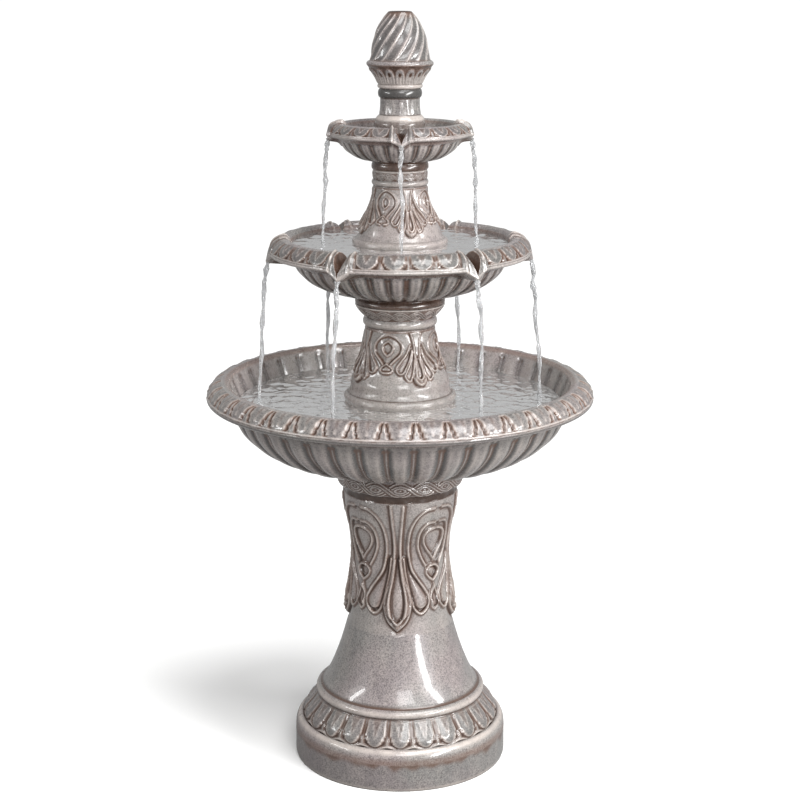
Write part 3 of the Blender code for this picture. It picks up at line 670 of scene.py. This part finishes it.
def make_basin():
    seat = BASIN_SEAT
    spigot = seat - SPIGOT_DEPTH
    floor = BASIN_FLOOR - SEAT_GAP
    base = BASIN_FLOOR - FLOOR_THICKNESS
    outline = [
        ("under", [(0, base), (74, base), (74, spigot), (82, spigot), (82, seat), (90, seat)], 12.0),
        ("foot", [(90, seat + SEAT_GAP), (89, seat + 4), (88, 466), (94, 467.5)], 2.5),
        ("lobes", [(94, 467.5), (110, 468), (138, 470), (170, 477), (200, 490), (222, 506), (238, 524),
                   (246, 541), (250, 552)], 3.0),
        ("neck", [(250, 552), (253, 556.5), (262, 559), (276, 559.5)], 1.8),
        ("edge", [(276, 559.5), (282.5, 560.5), (BASIN_RADIUS - 0.5, 563.5), (285.3, 567)], 1.0),
        ("band", [(285.3, 567), (283, 574), (278.5, 581), (272, 586.5), (264, 589.3)], 0.9),
        ("crest", [(264, 589.3), (258, 589.6), (252.5, 587)], 1.3),
        ("wall", [(252.5, 587), (249, 581), (244, 570), (239, 558), (230, 533)], 2.6),
        ("floor", [(230, 533), (214, 513), (194, 499), (168, 488), (138, floor), (70, floor),
                   (0, floor)], 8.0),
        ("middle", [(0, floor), (0, base)], 12.0),
    ]
    t = Turning(outline, crowded_angles(BASIN_LOBES, 16))
    angle = t.angle
    v = t.along("lobes")
    u = np.abs(repeat_position(angle, BASIN_LOBES))
    end = smooth(v, 0.02 + 0.24 * u**1.5, 0.035 + 0.24 * u**1.5)
    fade = smooth(1 - v, 0.0, 0.05)
    t.raise_relief("lobes", lobes(angle, BASIN_LOBES, 10) * smooth(v, 0.0, 0.30) * fade + 4.5 * end - 3.0)
    t.stain("lobes", 0.9 * (1 - end) * (v < 0.3))
    t.darken("lobes", smooth(u, 0.16, 0.38) * (1 - ridge(0.5 - u, 0.035)))
    t.darken("lobes", 0.5 * smooth(t.along("lobes"), 0.75, 1.0))
    # Pale glaze on the fillet in each valley, and a painted highlight in a stripe beside each lobe's crown.
    t.lighten("lobes", np.maximum(0.45 * ridge(0.5 - u, 0.03), 0.55 * ridge(u - 0.16, 0.09)) * fade)
    t.stain("lobes", 0.55 * ridge(u - 0.44, 0.035) * smooth(v, 0.1, 0.4) * fade)
    t.stain("foot", 0.9)
    t.stain("neck", 0.35)
    u = repeat_position(angle, BASIN_LOBES)
    height, rust, pale = egg_and_dart(u, 1 - t.along("band"), 42)
    t.dress("band", height - 0.6, rust, 0.75 * pale)
    t.darken("band", 0.42 * (1 - pale))
    t.lighten("edge", 0.25)
    t.darken("edge", 0.9 * ridge(t.along("edge") - 0.80, 0.14))
    t.stain("crest", 0.55 * ridge(t.along("crest") - 0.75, 0.3))
    v = t.along("wall")
    flutes = lobes(angle, BASIN_LOBES, 5.5) * smooth(v, 0.02, 0.2)
    t.raise_relief("wall", flutes * smooth(1 - v, 0.0, 0.3))
    t.stain("wall", 0.55 * smooth(0.12 - v, 0, 0.10) + 0.7 * smooth(-flutes, 2.8, 4.4))
    t.darken("wall", 0.45 * smooth(-flutes, 1.2, 3.8))
    t.lighten("wall", 0.30 * smooth(1.6 + flutes, 0, 1.2))
    cast_piece(t, "basin", "basin", GLAZE)


def make_lower_column():
    floor = BASIN_FLOOR
    top = LOWER_COLUMN_TOP
    outline = [
        ("skirt", [(80, floor), (80, 520), (80, 555)], 6.0),
        ("foot", [(80, 555), (82, 560), (83, 564), (81.5, 568), (77, 570.5)], 1.3),
        ("leaves", [(77, 570.5), (74, 577), (72, 590), (65, 604), (60, 620), (56.5, 635), (54, 650),
                    (52, 661), (51.8, 667)], 1.25),
        ("bead", [(51.8, 667), (50.8, 670), (53.6, 673), (54.5, 677.5), (53, 682), (51.5, 684)], 0.9),
        ("braid", [(51.5, 684), (54.5, 687), (59, 692), (63, 697), (65.5, 700.5)], 0.7),
        ("lip", [(65.5, 700.5), (66, 702), (64, top), (56, top)], 1.6),
        ("inside", [(56, top), (55, 692), (46, 684), (43, 664), (46, 645), (51, 622), (63, 590),
                    (68, 572), (71, 555), (71, floor)], 6.0),
        ("base", [(71, floor), (80, floor)], 4.0),
    ]
    t = Turning(outline, even_angles(336))
    dress_column(t, LOWER_LEAF, 592, 668, 1.35, 3.2)
    cast_piece(t, "lower_column", "lower_column", GLAZE)


def dress_column(t, leaf_angle, low, high, rib, stand_out):
    """The ornament that both inner columns share."""
    angle = t.angle
    rows = t.rows["leaves"]
    height, rust, pale = leaf_and_loop(
        angle - leaf_angle, t.height[rows], t.radius[rows], low, high, rib, stand_out,
        FAN_STROKES, FAN_PETALS,
    )
    t.dress("leaves", height, rust, 0.22 + 0.35 * pale)
    v = t.along("braid")
    height = braid(angle, v) * fade_ends(v, 0.1, 0.1)
    t.raise_relief("braid", 1.5 * height - 0.8)
    t.stain("braid", 0.45 * smooth(0.42 - height, 0, 0.3))
    t.lighten("braid", 0.65 * smooth(height, 0.35, 0.8))
    t.lighten("foot", 0.35)
    t.lighten("bead", 0.5 * ridge(t.along("bead") - 0.55, 0.25))
    t.stain("bead", 0.8 * smooth(0.18 - t.along("bead"), 0, 0.15))


def spout_reshape(turning, spouts, first, rim, crest_height, depth, half_width, ears):
    """Cuts a flared V in the rim at each spout, and draws the rim out and down into a beak under it.

    rim holds the radii of the wall's top and of the rim's edge.
    """
    wall_radius, edge_radius = rim
    sector = repeat_position(turning.angle, spouts, first) * 2 * math.pi / spouts

    def reshape(r, z):
        aside = np.abs(sector) * r
        under = smooth(crest_height - z, 0.30 * depth, 0.80 * depth)
        near_rim = smooth(r, wall_radius - 0.5 * depth, wall_radius + 0.3 * depth)
        beak = np.clip(1 - aside / (1.15 * half_width), 0, 1)
        outer = smooth(r, wall_radius + 0.2 * depth, edge_radius - 0.1 * depth)
        ear = ridge(aside - 1.15 * half_width, 0.30 * half_width) * near_rim * ears
        slope = np.clip((r - wall_radius) / (edge_radius - wall_radius), -0.5, 1.3)
        channel = crest_height - depth * (0.52 + 0.52 * slope) + depth * (aside / half_width) ** 0.8
        z = z - 0.38 * depth * beak * near_rim * under
        r = r + 0.18 * depth * beak * outer + 0.26 * depth * ear * outer
        cut = (r > wall_radius - 0.45 * depth) & (z > channel) & (aside < half_width * 1.4)
        lip = ridge(aside - 1.02 * half_width, 0.12 * half_width) * near_rim
        turning.rust[:] = np.where(cut, 0.95, turning.rust * (1 - 0.8 * lip))
        turning.cream[:] = np.where(cut, 0, np.maximum(turning.cream, 0.9 * lip))
        z = np.where(cut, channel, z + (0.05 + 0.18 * ear) * depth * lip * (1 - under))
        return r, z

    return reshape


def rim_eggs(turning, stretch, spouts, first, pitch):
    """Four eggs between each two spouts, with a gap left where the spout is."""
    places = 5
    angle = turning.angle
    u = repeat_position(angle, spouts * places, first)
    from_spout = np.abs(repeat_position(angle, spouts, first)) * places
    height, rust, pale = egg_and_dart(u, 1 - turning.along(stretch), pitch, 0.41, rounded=True)
    keep = smooth(from_spout, 0.50, 0.56)
    turning.dress(stretch, (0.9 * height - 0.4) * keep, rust * keep, 0.6 * pale * keep)
    turning.darken(stretch, 0.65 * (1 - pale))


def make_middle_bowl():
    seat = LOWER_COLUMN_TOP + SEAT_GAP
    spigot = seat - SPIGOT_DEPTH
    floor = MIDDLE_FLOOR
    under = floor - FLOOR_THICKNESS
    outline = [
        ("spigot", [(46, under), (46, spigot), (54, spigot), (54, seat), (64, seat)], 4.0),
        ("ring", [(64, seat), (66, 705.5), (65, 710), (62, 713.5), (66, 716.5)], 1.4),
        ("lobes", [(66, 716.5), (75, 717.5), (97, 722), (120, 730), (138, 741), (150, 754),
                   (155, 766)], 2.0),
        ("neck", [(155, 766), (159, 770.5), (168, 772.5), (182, 774)], 1.7),
        ("edge", [(182, 774), (187.5, 774.8), (189.8, 777), (189, 780)], 0.9),
        ("band", [(189, 780), (186.5, 787.5), (181.5, 794.5), (174, 800)], 0.85),
        ("crest", [(174, 799.5), (169, 801), (163.5, 799), (160, 795)], 1.2),
        ("wall", [(160, 795), (156, 786), (151, 775), (144, 762), (130, 748)], 2.4),
        ("floor", [(130, 748), (112, 739.5), (90, floor), (50, floor), (11, floor)], 7.0),
        ("bore", [(11, floor), (11, under)], 5.0),
        ("back", [(11, under), (46, under)], 7.0),
    ]
    t = Turning(outline, spout_angles(MIDDLE_SPOUTS, MIDDLE_SPOUT_ANGLE, 104))
    dress_bowl(t, MIDDLE_LOBES, MIDDLE_SPOUT_ANGLE, 6.5)
    rim_eggs(t, "band", MIDDLE_SPOUTS, MIDDLE_SPOUT_ANGLE, 36)
    reshape = spout_reshape(t, MIDDLE_SPOUTS, MIDDLE_SPOUT_ANGLE, (160, 190), 801, 31, 15, 0.3)
    cast_piece(t, "middle_bowl", "middle_bowl", GLAZE, reshape)


def dress_bowl(t, count, start, depth):
    """Lobes underneath, flutes inside and the dark foot ring that both upper bowls share."""
    angle = t.angle
    v = t.along("lobes")
    first = start + math.pi / count
    fade = fade_ends(v, 0.25, 0.06)
    t.raise_relief("lobes", lobes(angle, count, depth, first) * fade)
    u = np.abs(repeat_position(angle, count, first))
    t.darken("lobes", smooth(u, 0.18, 0.40) * (1 - ridge(0.5 - u, 0.04)))
    # Pale glaze on the fillet in each valley, and a painted highlight in a stripe beside each lobe's crown.
    t.lighten("lobes", np.maximum(0.45 * ridge(0.5 - u, 0.035), 0.55 * ridge(u - 0.16, 0.09)) * fade)
    t.stain("lobes", 0.6 * ridge(u - 0.43, 0.04) * fade)
    t.stain("ring", 0.92)
    t.stain("neck", 0.4)
    t.lighten("edge", 0.35)
    v = t.along("wall")
    flutes = lobes(angle, count, 0.45 * depth, first) * smooth(v, 0.02, 0.2)
    t.raise_relief("wall", flutes * smooth(1 - v, 0.0, 0.3))
    t.stain("wall", 0.5 * smooth(0.2 - v, 0, 0.18))
    t.darken("wall", 0.8 * smooth(-flutes, 0.25 * depth, 0.42 * depth))
    t.darken("floor", 0.85)


def make_upper_column():
    floor = MIDDLE_FLOOR
    top = UPPER_COLUMN_TOP
    outline = [
        ("skirt", [(66, floor), (66, 760), (66, 786)], 6.0),
        ("foot", [(66, 786), (68.5, 789.5), (69.7, 793.5), (68.5, 797.5), (64.5, 799.5)], 1.1),
        ("leaves", [(64.5, 799.5), (61.5, 803), (57, 816), (52, 827), (47.5, 838), (44, 847),
                    (41.3, 857), (40, 866), (39.7, 873)], 1.05),
        ("bead", [(39.7, 873), (38.7, 875.5), (40.4, 877.5), (41, 880.5), (39.8, 883.5), (38, 884.5)], 0.8),
        ("braid", [(38, 884.5), (38.8, 886), (39.6, 890), (39.6, 895.5)], 0.6),
        ("lip", [(39.6, 895.5), (39, top), (31, top)], 1.6),
        ("inside", [(31, top), (30, 888), (31, 864), (35, 846), (42, 830), (49, 812), (57, 795),
                    (57, floor)], 6.0),
        ("base", [(57, floor), (66, floor)], 4.0),
    ]
    t = Turning(outline, even_angles(304))
    dress_column(t, UPPER_LEAF, 808, 875, 1.1, 2.7)
    cast_piece(t, "upper_column", "upper_column", GLAZE)


def make_top_bowl():
    seat = UPPER_COLUMN_TOP + SEAT_GAP
    spigot = seat - TOP_SPIGOT_DEPTH
    floor = TOP_FLOOR
    under = floor - TOP_FLOOR_THICKNESS
    outline = [
        ("spigot", [(21, under), (21, spigot), (28, spigot), (28, seat), (39, seat)], 3.0),
        ("ring", [(39, seat), (40.8, 900), (41, 905), (40, 909), (43, 911.5)], 1.1),
        ("lobes", [(43, 911.5), (53, 912.3), (64, 916), (74, 923), (81, 931.5), (85, 940)], 1.3),
        ("neck", [(85, 940), (88, 943.5), (93, 945), (97, 945.6)], 1.2),
        ("edge", [(97, 945.6), (100, 946.2), (101, 948.4), (100.4, 950.4)], 0.7),
        ("band", [(100.4, 950.4), (98, 955.8), (94.5, 959.7), (89.5, 962.8)], 0.6),
        ("crest", [(89.5, 962.8), (85, 964), (81, 963), (78.5, 961)], 0.9),
        ("wall", [(78.5, 961), (75, 954), (71, 944), (65, 934), (55, 927.5)], 1.7),
        ("floor", [(55, 927.5), (45, floor), (28, floor), (11, floor)], 5.0),
        ("bore", [(11, floor), (11, under)], 4.0),
        ("back", [(11, under), (21, under)], 5.0),
    ]
    t = Turning(outline, spout_angles(TOP_SPOUTS, TOP_SPOUT_ANGLE, 128, 0.55))
    dress_bowl(t, TOP_LOBES, TOP_SPOUT_ANGLE, 4.6)
    rim_eggs(t, "band", TOP_SPOUTS, TOP_SPOUT_ANGLE, 26)
    reshape = spout_reshape(t, TOP_SPOUTS, TOP_SPOUT_ANGLE, (79, 101), 964, 21, 12, 1.0)
    cast_piece(t, "top_bowl", "top_bowl", GLAZE, reshape)


def make_stem():
    floor = TOP_FLOOR
    top = STEM_TOP
    outline = [
        ("skirt", [(33, floor), (33, 950)], 5.0),
        ("foot", [(33, 950), (35.5, 955), (36.3, 960), (36, 965), (34.8, 967.5)], 1.0),
        ("flange", [(34.8, 967.5), (35, 970), (33, 973), (29.8, 976)], 0.8),
        ("shaft", [(29.8, 976), (28.4, 984), (28, 993), (28.4, 999.5)], 1.6),
        ("ring", [(28.4, 999.5), (30.5, 1001.5), (31.5, 1006), (30.8, 1010.5), (29.2, top)], 0.8),
        ("top", [(29.2, top), (21, top)], 3.0),
        ("inside", [(21, top), (20, 1000), (20, 974), (25, 960), (25, floor)], 6.0),
        ("base", [(25, floor), (33, floor)], 4.0),
    ]
    t = Turning(outline, even_angles(192))
    t.stain("foot", 0.25)
    t.darken("foot", 0.4)
    t.darken("ring", 1.0)
    t.lighten("flange", 0.8)
    v = t.along("shaft")
    t.raise_relief("shaft", 0.35 * np.cos(16 * t.angle) * fade_ends(v, 0.2, 0.2))
    cast_piece(t, "finial_stem", "stem", GLAZE)


def make_finial():
    seat = STEM_TOP + SEAT_GAP
    top = FINIAL_TOP
    outline = [
        ("seat", [(14, seat - 6), (20, seat - 6), (20, seat), (29, seat)], 3.0),
        ("ring", [(29, seat), (31.5, seat + 1), (32.3, 1016.5), (31.3, 1019)], 0.8),
        ("cup", [(31.3, 1019), (32.5, 1022), (36, 1029), (41, 1037), (45.5, 1043.5)], 0.8),
        ("rim", [(45.5, 1043.5), (47.5, 1046), (47.6, 1049), (45.5, 1051.3), (43.5, 1052)], 0.8),
        ("egg", [(43.5, 1052), (41.8, 1057), (40.6, 1064), (39.2, 1073), (37, 1083.5), (33.8, 1093),
                 (29.5, 1101.5), (24.8, 1109), (20.3, 1115), (17, 1119)], 1.1),
        ("mouth", [(17, 1119), (15, top), (12.5, top - 0.5), (12, top - 2.5)], 0.9),
        ("bore", [(12, top - 2.5), (12, 1109)], 3.0),
        ("inside", [(12, 1109), (20, 1102), (28, 1088), (32, 1070), (34, 1052), (32, 1040), (24, 1026),
                    (14, 1019), (14, seat - 6)], 6.0),
    ]
    t = Turning(outline, even_angles(360))
    angle = t.angle
    v = t.along("egg")
    u = 2 * repeat_position(angle - FINIAL_TWIST * v, FINIAL_FLUTES)
    crest = np.abs(u) ** 3
    t.raise_relief("egg", (2.0 * crest - 1.3) * fade_ends(v, 0.05, 0.12))
    t.lighten("egg", 0.55 * smooth(crest, 0.45, 0.85))
    t.darken("egg", 0.75 * smooth(0.30 - crest, 0, 0.25))
    t.stain("egg", 0.5 * smooth(0.04 - v, 0, 0.04) + 0.45 * smooth(v, 0.82, 0.97))
    t.darken("egg", smooth(v, 0.955, 0.985))
    v = t.along("cup")
    u = repeat_position(angle, FINIAL_ARCHES)
    arch = np.hypot(u / 0.34, np.maximum(v - 0.35, 0) / 0.45) - 1
    arch = np.where(v < 0.35, np.abs(u) / 0.34 - 1, arch)
    leaf = ridge(u, 0.05 + 0.10 * v)
    height = 1.0 * ridge(arch, 0.22) + 0.6 * leaf - 0.8 * smooth(arch, 0.2, 0.5) * smooth(v, 0.2, 0.5)
    fade = smooth(v, 0.02, 0.12) * smooth(1 - v, 0.02, 0.12)
    t.raise_relief("cup", height * fade)
    t.stain("cup", 0.9 * smooth(arch, 0.15, 0.4) * smooth(v, 0.3, 0.6))
    eye = smooth(1 - np.hypot(u / 0.17, (v - 0.58) / 0.17), 0, 0.4)
    t.stain("cup", 0.95 * eye)
    t.darken("cup", 0.8 * eye)
    t.stain("cup", 0.9 * smooth(v, 0.86, 0.95))
    t.lighten("cup", 0.55 * smooth(0.75 - v, 0, 0.3))
    t.stain("rim", 0.95 * smooth(0.45 - t.along("rim"), 0, 0.2))
    t.lighten("ring", 0.7)
    for name in ("mouth", "bore"):
        t.stain(name, 1.0)
        t.darken(name, 1.0)
    cast_piece(t, "finial", "finial", GLAZE)


# ---- water

def grid_faces(rows, columns):
    index = np.arange(rows * columns).reshape(rows, columns)
    right = np.roll(index, -1, 1)
    return np.stack([index[:-1], index[1:], right[1:], right[:-1]], axis=2).reshape(-1, 4)


def make_pool(name, body, level, inner, outer, drops, seed, ripple, water):
    """A rippled ring of water, with rings spreading from each place where a stream lands."""
    rng = np.random.default_rng(seed)
    columns = 420
    rows = int((outer - inner) / 2.2)
    angle = even_angles(columns)[None, :]
    r = np.linspace(inner, outer, rows)[:, None]
    x, y = r * np.sin(angle), -r * np.cos(angle)
    z = np.zeros_like(x)
    for _ in range(26):
        heading, length = rng.uniform(0, 2 * math.pi), rng.uniform(9, 34)
        phase, bend = rng.uniform(0, 2 * math.pi), rng.uniform(6, 14)
        path = x * math.cos(heading) + y * math.sin(heading)
        side = y * math.cos(heading) - x * math.sin(heading)
        z += np.sin(2 * math.pi * (path + bend * np.sin(side / 31 + phase)) / length + phase) * length / 120
    for place, reach in drops:
        away = np.hypot(x - reach * math.sin(place), y + reach * math.cos(place))
        z += 2.2 * np.cos(2 * math.pi * away / 9) * np.exp(-away / 16)
    edge = smooth(r, inner, inner + 6) * smooth(outer - r, 0, 6)
    z = level + ripple * z * (0.35 + 0.65 * edge)
    points = np.stack([x, y, z], axis=2).reshape(-1, 3) * MM
    mesh = bpy.data.meshes.new(name)
    mesh.from_pydata(points.tolist(), [], grid_faces(rows, columns)[:, ::-1].tolist())
    link_piece(name, mesh, water, body)


def make_stream(name, body, angle, start, end, width, seed):
    """A falling stream: it leaves the lip slightly outwards, twists, thins and beads up."""
    rng = np.random.default_rng(seed)
    (r0, z0), (r1, z1) = start, end
    rows, columns = 110, 12
    t = np.linspace(0, 1, rows)
    fall = t**1.7
    z = z0 + (z1 - z0) * fall
    r = r0 + (r1 - r0) * np.sqrt(fall)
    side = np.zeros(rows)
    drift = np.zeros(rows)
    swell = np.ones(rows)
    for k in range(1, 7):
        side += rng.normal() * np.sin(2 * math.pi * k * t * 1.3 + rng.uniform(0, 6)) / k
        drift += rng.normal() * np.sin(2 * math.pi * k * t * 1.3 + rng.uniform(0, 6)) / k
        swell += 0.10 * np.sin(2 * math.pi * (4 + 3 * k) * t + rng.uniform(0, 6)) / math.sqrt(k)
    ease = smooth(t, 0, 0.4)
    side, drift = 1.1 * side * ease, 1.1 * drift * ease
    radius = width * np.clip(swell, 0.5, 1.5) * (1.15 - 0.35 * t)
    radius[0] *= 0.6
    turn = even_angles(columns)
    lobed = radius[:, None] * (1 + 0.28 * np.cos(2 * (turn[None, :] + 16 * t[:, None])))
    outward = (r + drift)[:, None] + lobed * np.cos(turn)
    sideways = side[:, None] + lobed * np.sin(turn)
    x = outward * math.sin(angle) + sideways * math.cos(angle)
    y = -outward * math.cos(angle) + sideways * math.sin(angle)
    points = np.stack([x, y, np.repeat(z[:, None], columns, 1)], axis=2).reshape(-1, 3) * MM
    faces = grid_faces(rows, columns).tolist()
    faces.append(list(range(columns)))
    faces.append(list(range((rows - 1) * columns, rows * columns))[::-1])
    mesh = bpy.data.meshes.new(name)
    mesh.from_pydata(points.tolist(), [], faces)
    link_piece(name, mesh, FALLING_WATER, body)


def make_water_pieces():
    sector = 2 * math.pi / MIDDLE_SPOUTS
    middle_falls = [(MIDDLE_SPOUT_ANGLE + i * sector, MIDDLE_REACH) for i in range(MIDDLE_SPOUTS)]
    quarter = 2 * math.pi / TOP_SPOUTS
    top_falls = [(TOP_SPOUT_ANGLE + i * quarter, TOP_REACH) for i in range(TOP_SPOUTS)]
    make_pool("basin_water", "basin", BASIN_WATER, 81, 237.5, middle_falls, 11, 0.75, WATER)
    make_pool("middle_water", "middle_bowl", MIDDLE_WATER, 69, 157.5, top_falls, 12, 0.6, SHADED_BOWL_WATER)
    make_pool("top_water", "top_bowl", TOP_WATER, 35.5, 74.5, [], 13, 0.4, SHADED_BOWL_WATER)
    for i, (angle, reach) in enumerate(middle_falls, start=1):
        landing = (reach, BASIN_WATER - 2)
        make_stream(f"middle_stream_{i}", "middle_bowl", angle, MIDDLE_LIP, landing, 2.9, 20 + i)
    for i, (angle, reach) in enumerate(top_falls, start=1):
        landing = (reach, MIDDLE_WATER - 2)
        make_stream(f"top_stream_{i}", "top_bowl", angle, TOP_LIP, landing, 2.7, 40 + i)


# ---- pump and tube

def dress(nodes, material):
    """Puts a new material in the slots of CAD nodes that keep their own meshes."""
    for node in nodes:
        obj = bpy.data.objects[node]
        obj.data.materials.clear()
        obj.data.materials.append(material)


def dress_inner_pieces():
    plastic = make_plain("pump_plastic", (0.018, 0.019, 0.021), (0.035, 0.036, 0.04), 0.38, grain=900)
    rubber = make_plain("black_rubber", (0.016, 0.016, 0.016), (0.035, 0.034, 0.033), 0.62, grain=1400)
    feet = [f"suction_foot_{i}" for i in range(1, 5)]
    dress(["pump_housing", "pump_chamber", "intake_strainer", "impeller", "outlet_bush"], plastic)
    dress(["middle_bowl_seal", "top_bowl_seal", "cord_bung", "cord_gland"] + feet, rubber)
    dress(["riser_tube"], make_plain(
        "tube_vinyl", (0.05, 0.055, 0.06), (0.085, 0.09, 0.095), 0.22, grain=120, stretch=(1, 1, 0.1)
    ))
    dress(["flow_dial"], make_plain("dial_plastic", (0.03, 0.07, 0.16), (0.05, 0.10, 0.21), 0.3, grain=700))
    dress(["stator_core"], make_plain(
        "stator_steel", (0.30, 0.30, 0.31), (0.44, 0.44, 0.45), 0.34, 1.0, 500, (1, 20, 1)
    ))
    dress(["stator_coil"], make_plain(
        "coil_copper", (0.56, 0.22, 0.09), (0.75, 0.33, 0.15), 0.28, 1.0, 260, (9, 1, 1), 0.0004
    ))
    dress(["resin_seal"], make_plain("resin", (0.012, 0.012, 0.012), (0.03, 0.03, 0.032), 0.18, grain=60))
    dress(["impeller_shaft"], make_plain(
        "shaft_ceramic", (0.72, 0.71, 0.66), (0.84, 0.83, 0.79), 0.24, grain=1200
    ))
    dress(["rotor_magnet"], make_plain(
        "magnet_ferrite", (0.045, 0.045, 0.05), (0.09, 0.09, 0.095), 0.48, grain=1600
    ))


# ---- studio

def add_light(name, place, aim, size, power):
    data = bpy.data.lights.new(name, "AREA")
    data.shape = "RECTANGLE"
    data.size, data.size_y = size
    data.energy = power
    light = add_object(name, data)
    light.location = place
    light.rotation_euler = (Vector(aim) - Vector(place)).to_track_quat("-Z", "Z").to_euler()


def make_studio():
    """A floor that looks pale but throws little light back up, and soft lights round the front."""
    half = 60
    mesh = bpy.data.meshes.new("floor")
    corners = [(-half, -half, 0), (half, -half, 0), (half, half, 0), (-half, half, 0)]
    mesh.from_pydata(corners, [], [(0, 1, 2, 3)])
    n = Nodes("studio_floor")
    path = n.add("ShaderNodeLightPath")
    colour = n.mix(path.outputs["Is Camera Ray"], (0.28, 0.28, 0.28), (0.92, 0.92, 0.915))
    n.set(Base_Color=colour, Roughness=0.9)
    mesh.materials.append(n.material)
    floor = add_object("floor", mesh)
    make_world()
    add_light("right_softbox", (2.0, -1.68, 1.15), (0, 0, 0.6), (0.42, 2.2), 84)
    add_light("front_fill", (0.5, -3.3, 2.3), (0, 0, 0.6), (1.5, 1.2), 53)
    add_light("left_softbox", (-2.45, -0.9, 1.35), (0, 0, 0.7), (0.22, 1.2), 19)
    overhead = bpy.data.lights.new("overhead", "SUN")
    overhead.energy = 2.7
    overhead.angle = math.radians(38)
    light = add_object("overhead", overhead)
    light.rotation_euler = Vector((-0.45, 0.55, -1.25)).to_track_quat("-Z", "Y").to_euler()


def make_world():
    """White where the camera sees it, and dimmer as a source of light."""
    world = bpy.data.worlds.new("studio")
    world.use_nodes = True
    tree = world.node_tree
    sky = tree.nodes["Background"]
    seen = tree.nodes.new("ShaderNodeBackground")
    for node, strength in ((sky, 0.44), (seen, 1.0)):
        node.inputs["Color"].default_value = (1, 1, 1, 1)
        node.inputs["Strength"].default_value = strength
    path = tree.nodes.new("ShaderNodeLightPath")
    mix = tree.nodes.new("ShaderNodeMixShader")
    tree.links.new(path.outputs["Is Camera Ray"], mix.inputs["Fac"])
    tree.links.new(sky.outputs["Background"], mix.inputs[1])
    tree.links.new(seen.outputs["Background"], mix.inputs[2])
    tree.links.new(mix.outputs["Shader"], tree.nodes["World Output"].inputs["Surface"])
    bpy.context.scene.world = world


def make_camera():
    data = bpy.data.cameras.new("camera")
    data.lens = 79.9
    data.sensor_width = 36  # millimetres, like the lens
    camera = add_object("camera", data)
    camera.location = (0, -2.561, 1.189)
    camera.rotation_euler = (math.radians(90 - 13.9), 0, 0)
    bpy.context.scene.camera = camera
    bpy.context.scene.view_settings.view_transform = "Standard"


make_camera()
make_studio()
make_pedestal()
make_basin()
make_lower_column()
make_middle_bowl()
make_upper_column()
make_top_bowl()
make_stem()
make_finial()
make_water_pieces()
dress_inner_pieces()
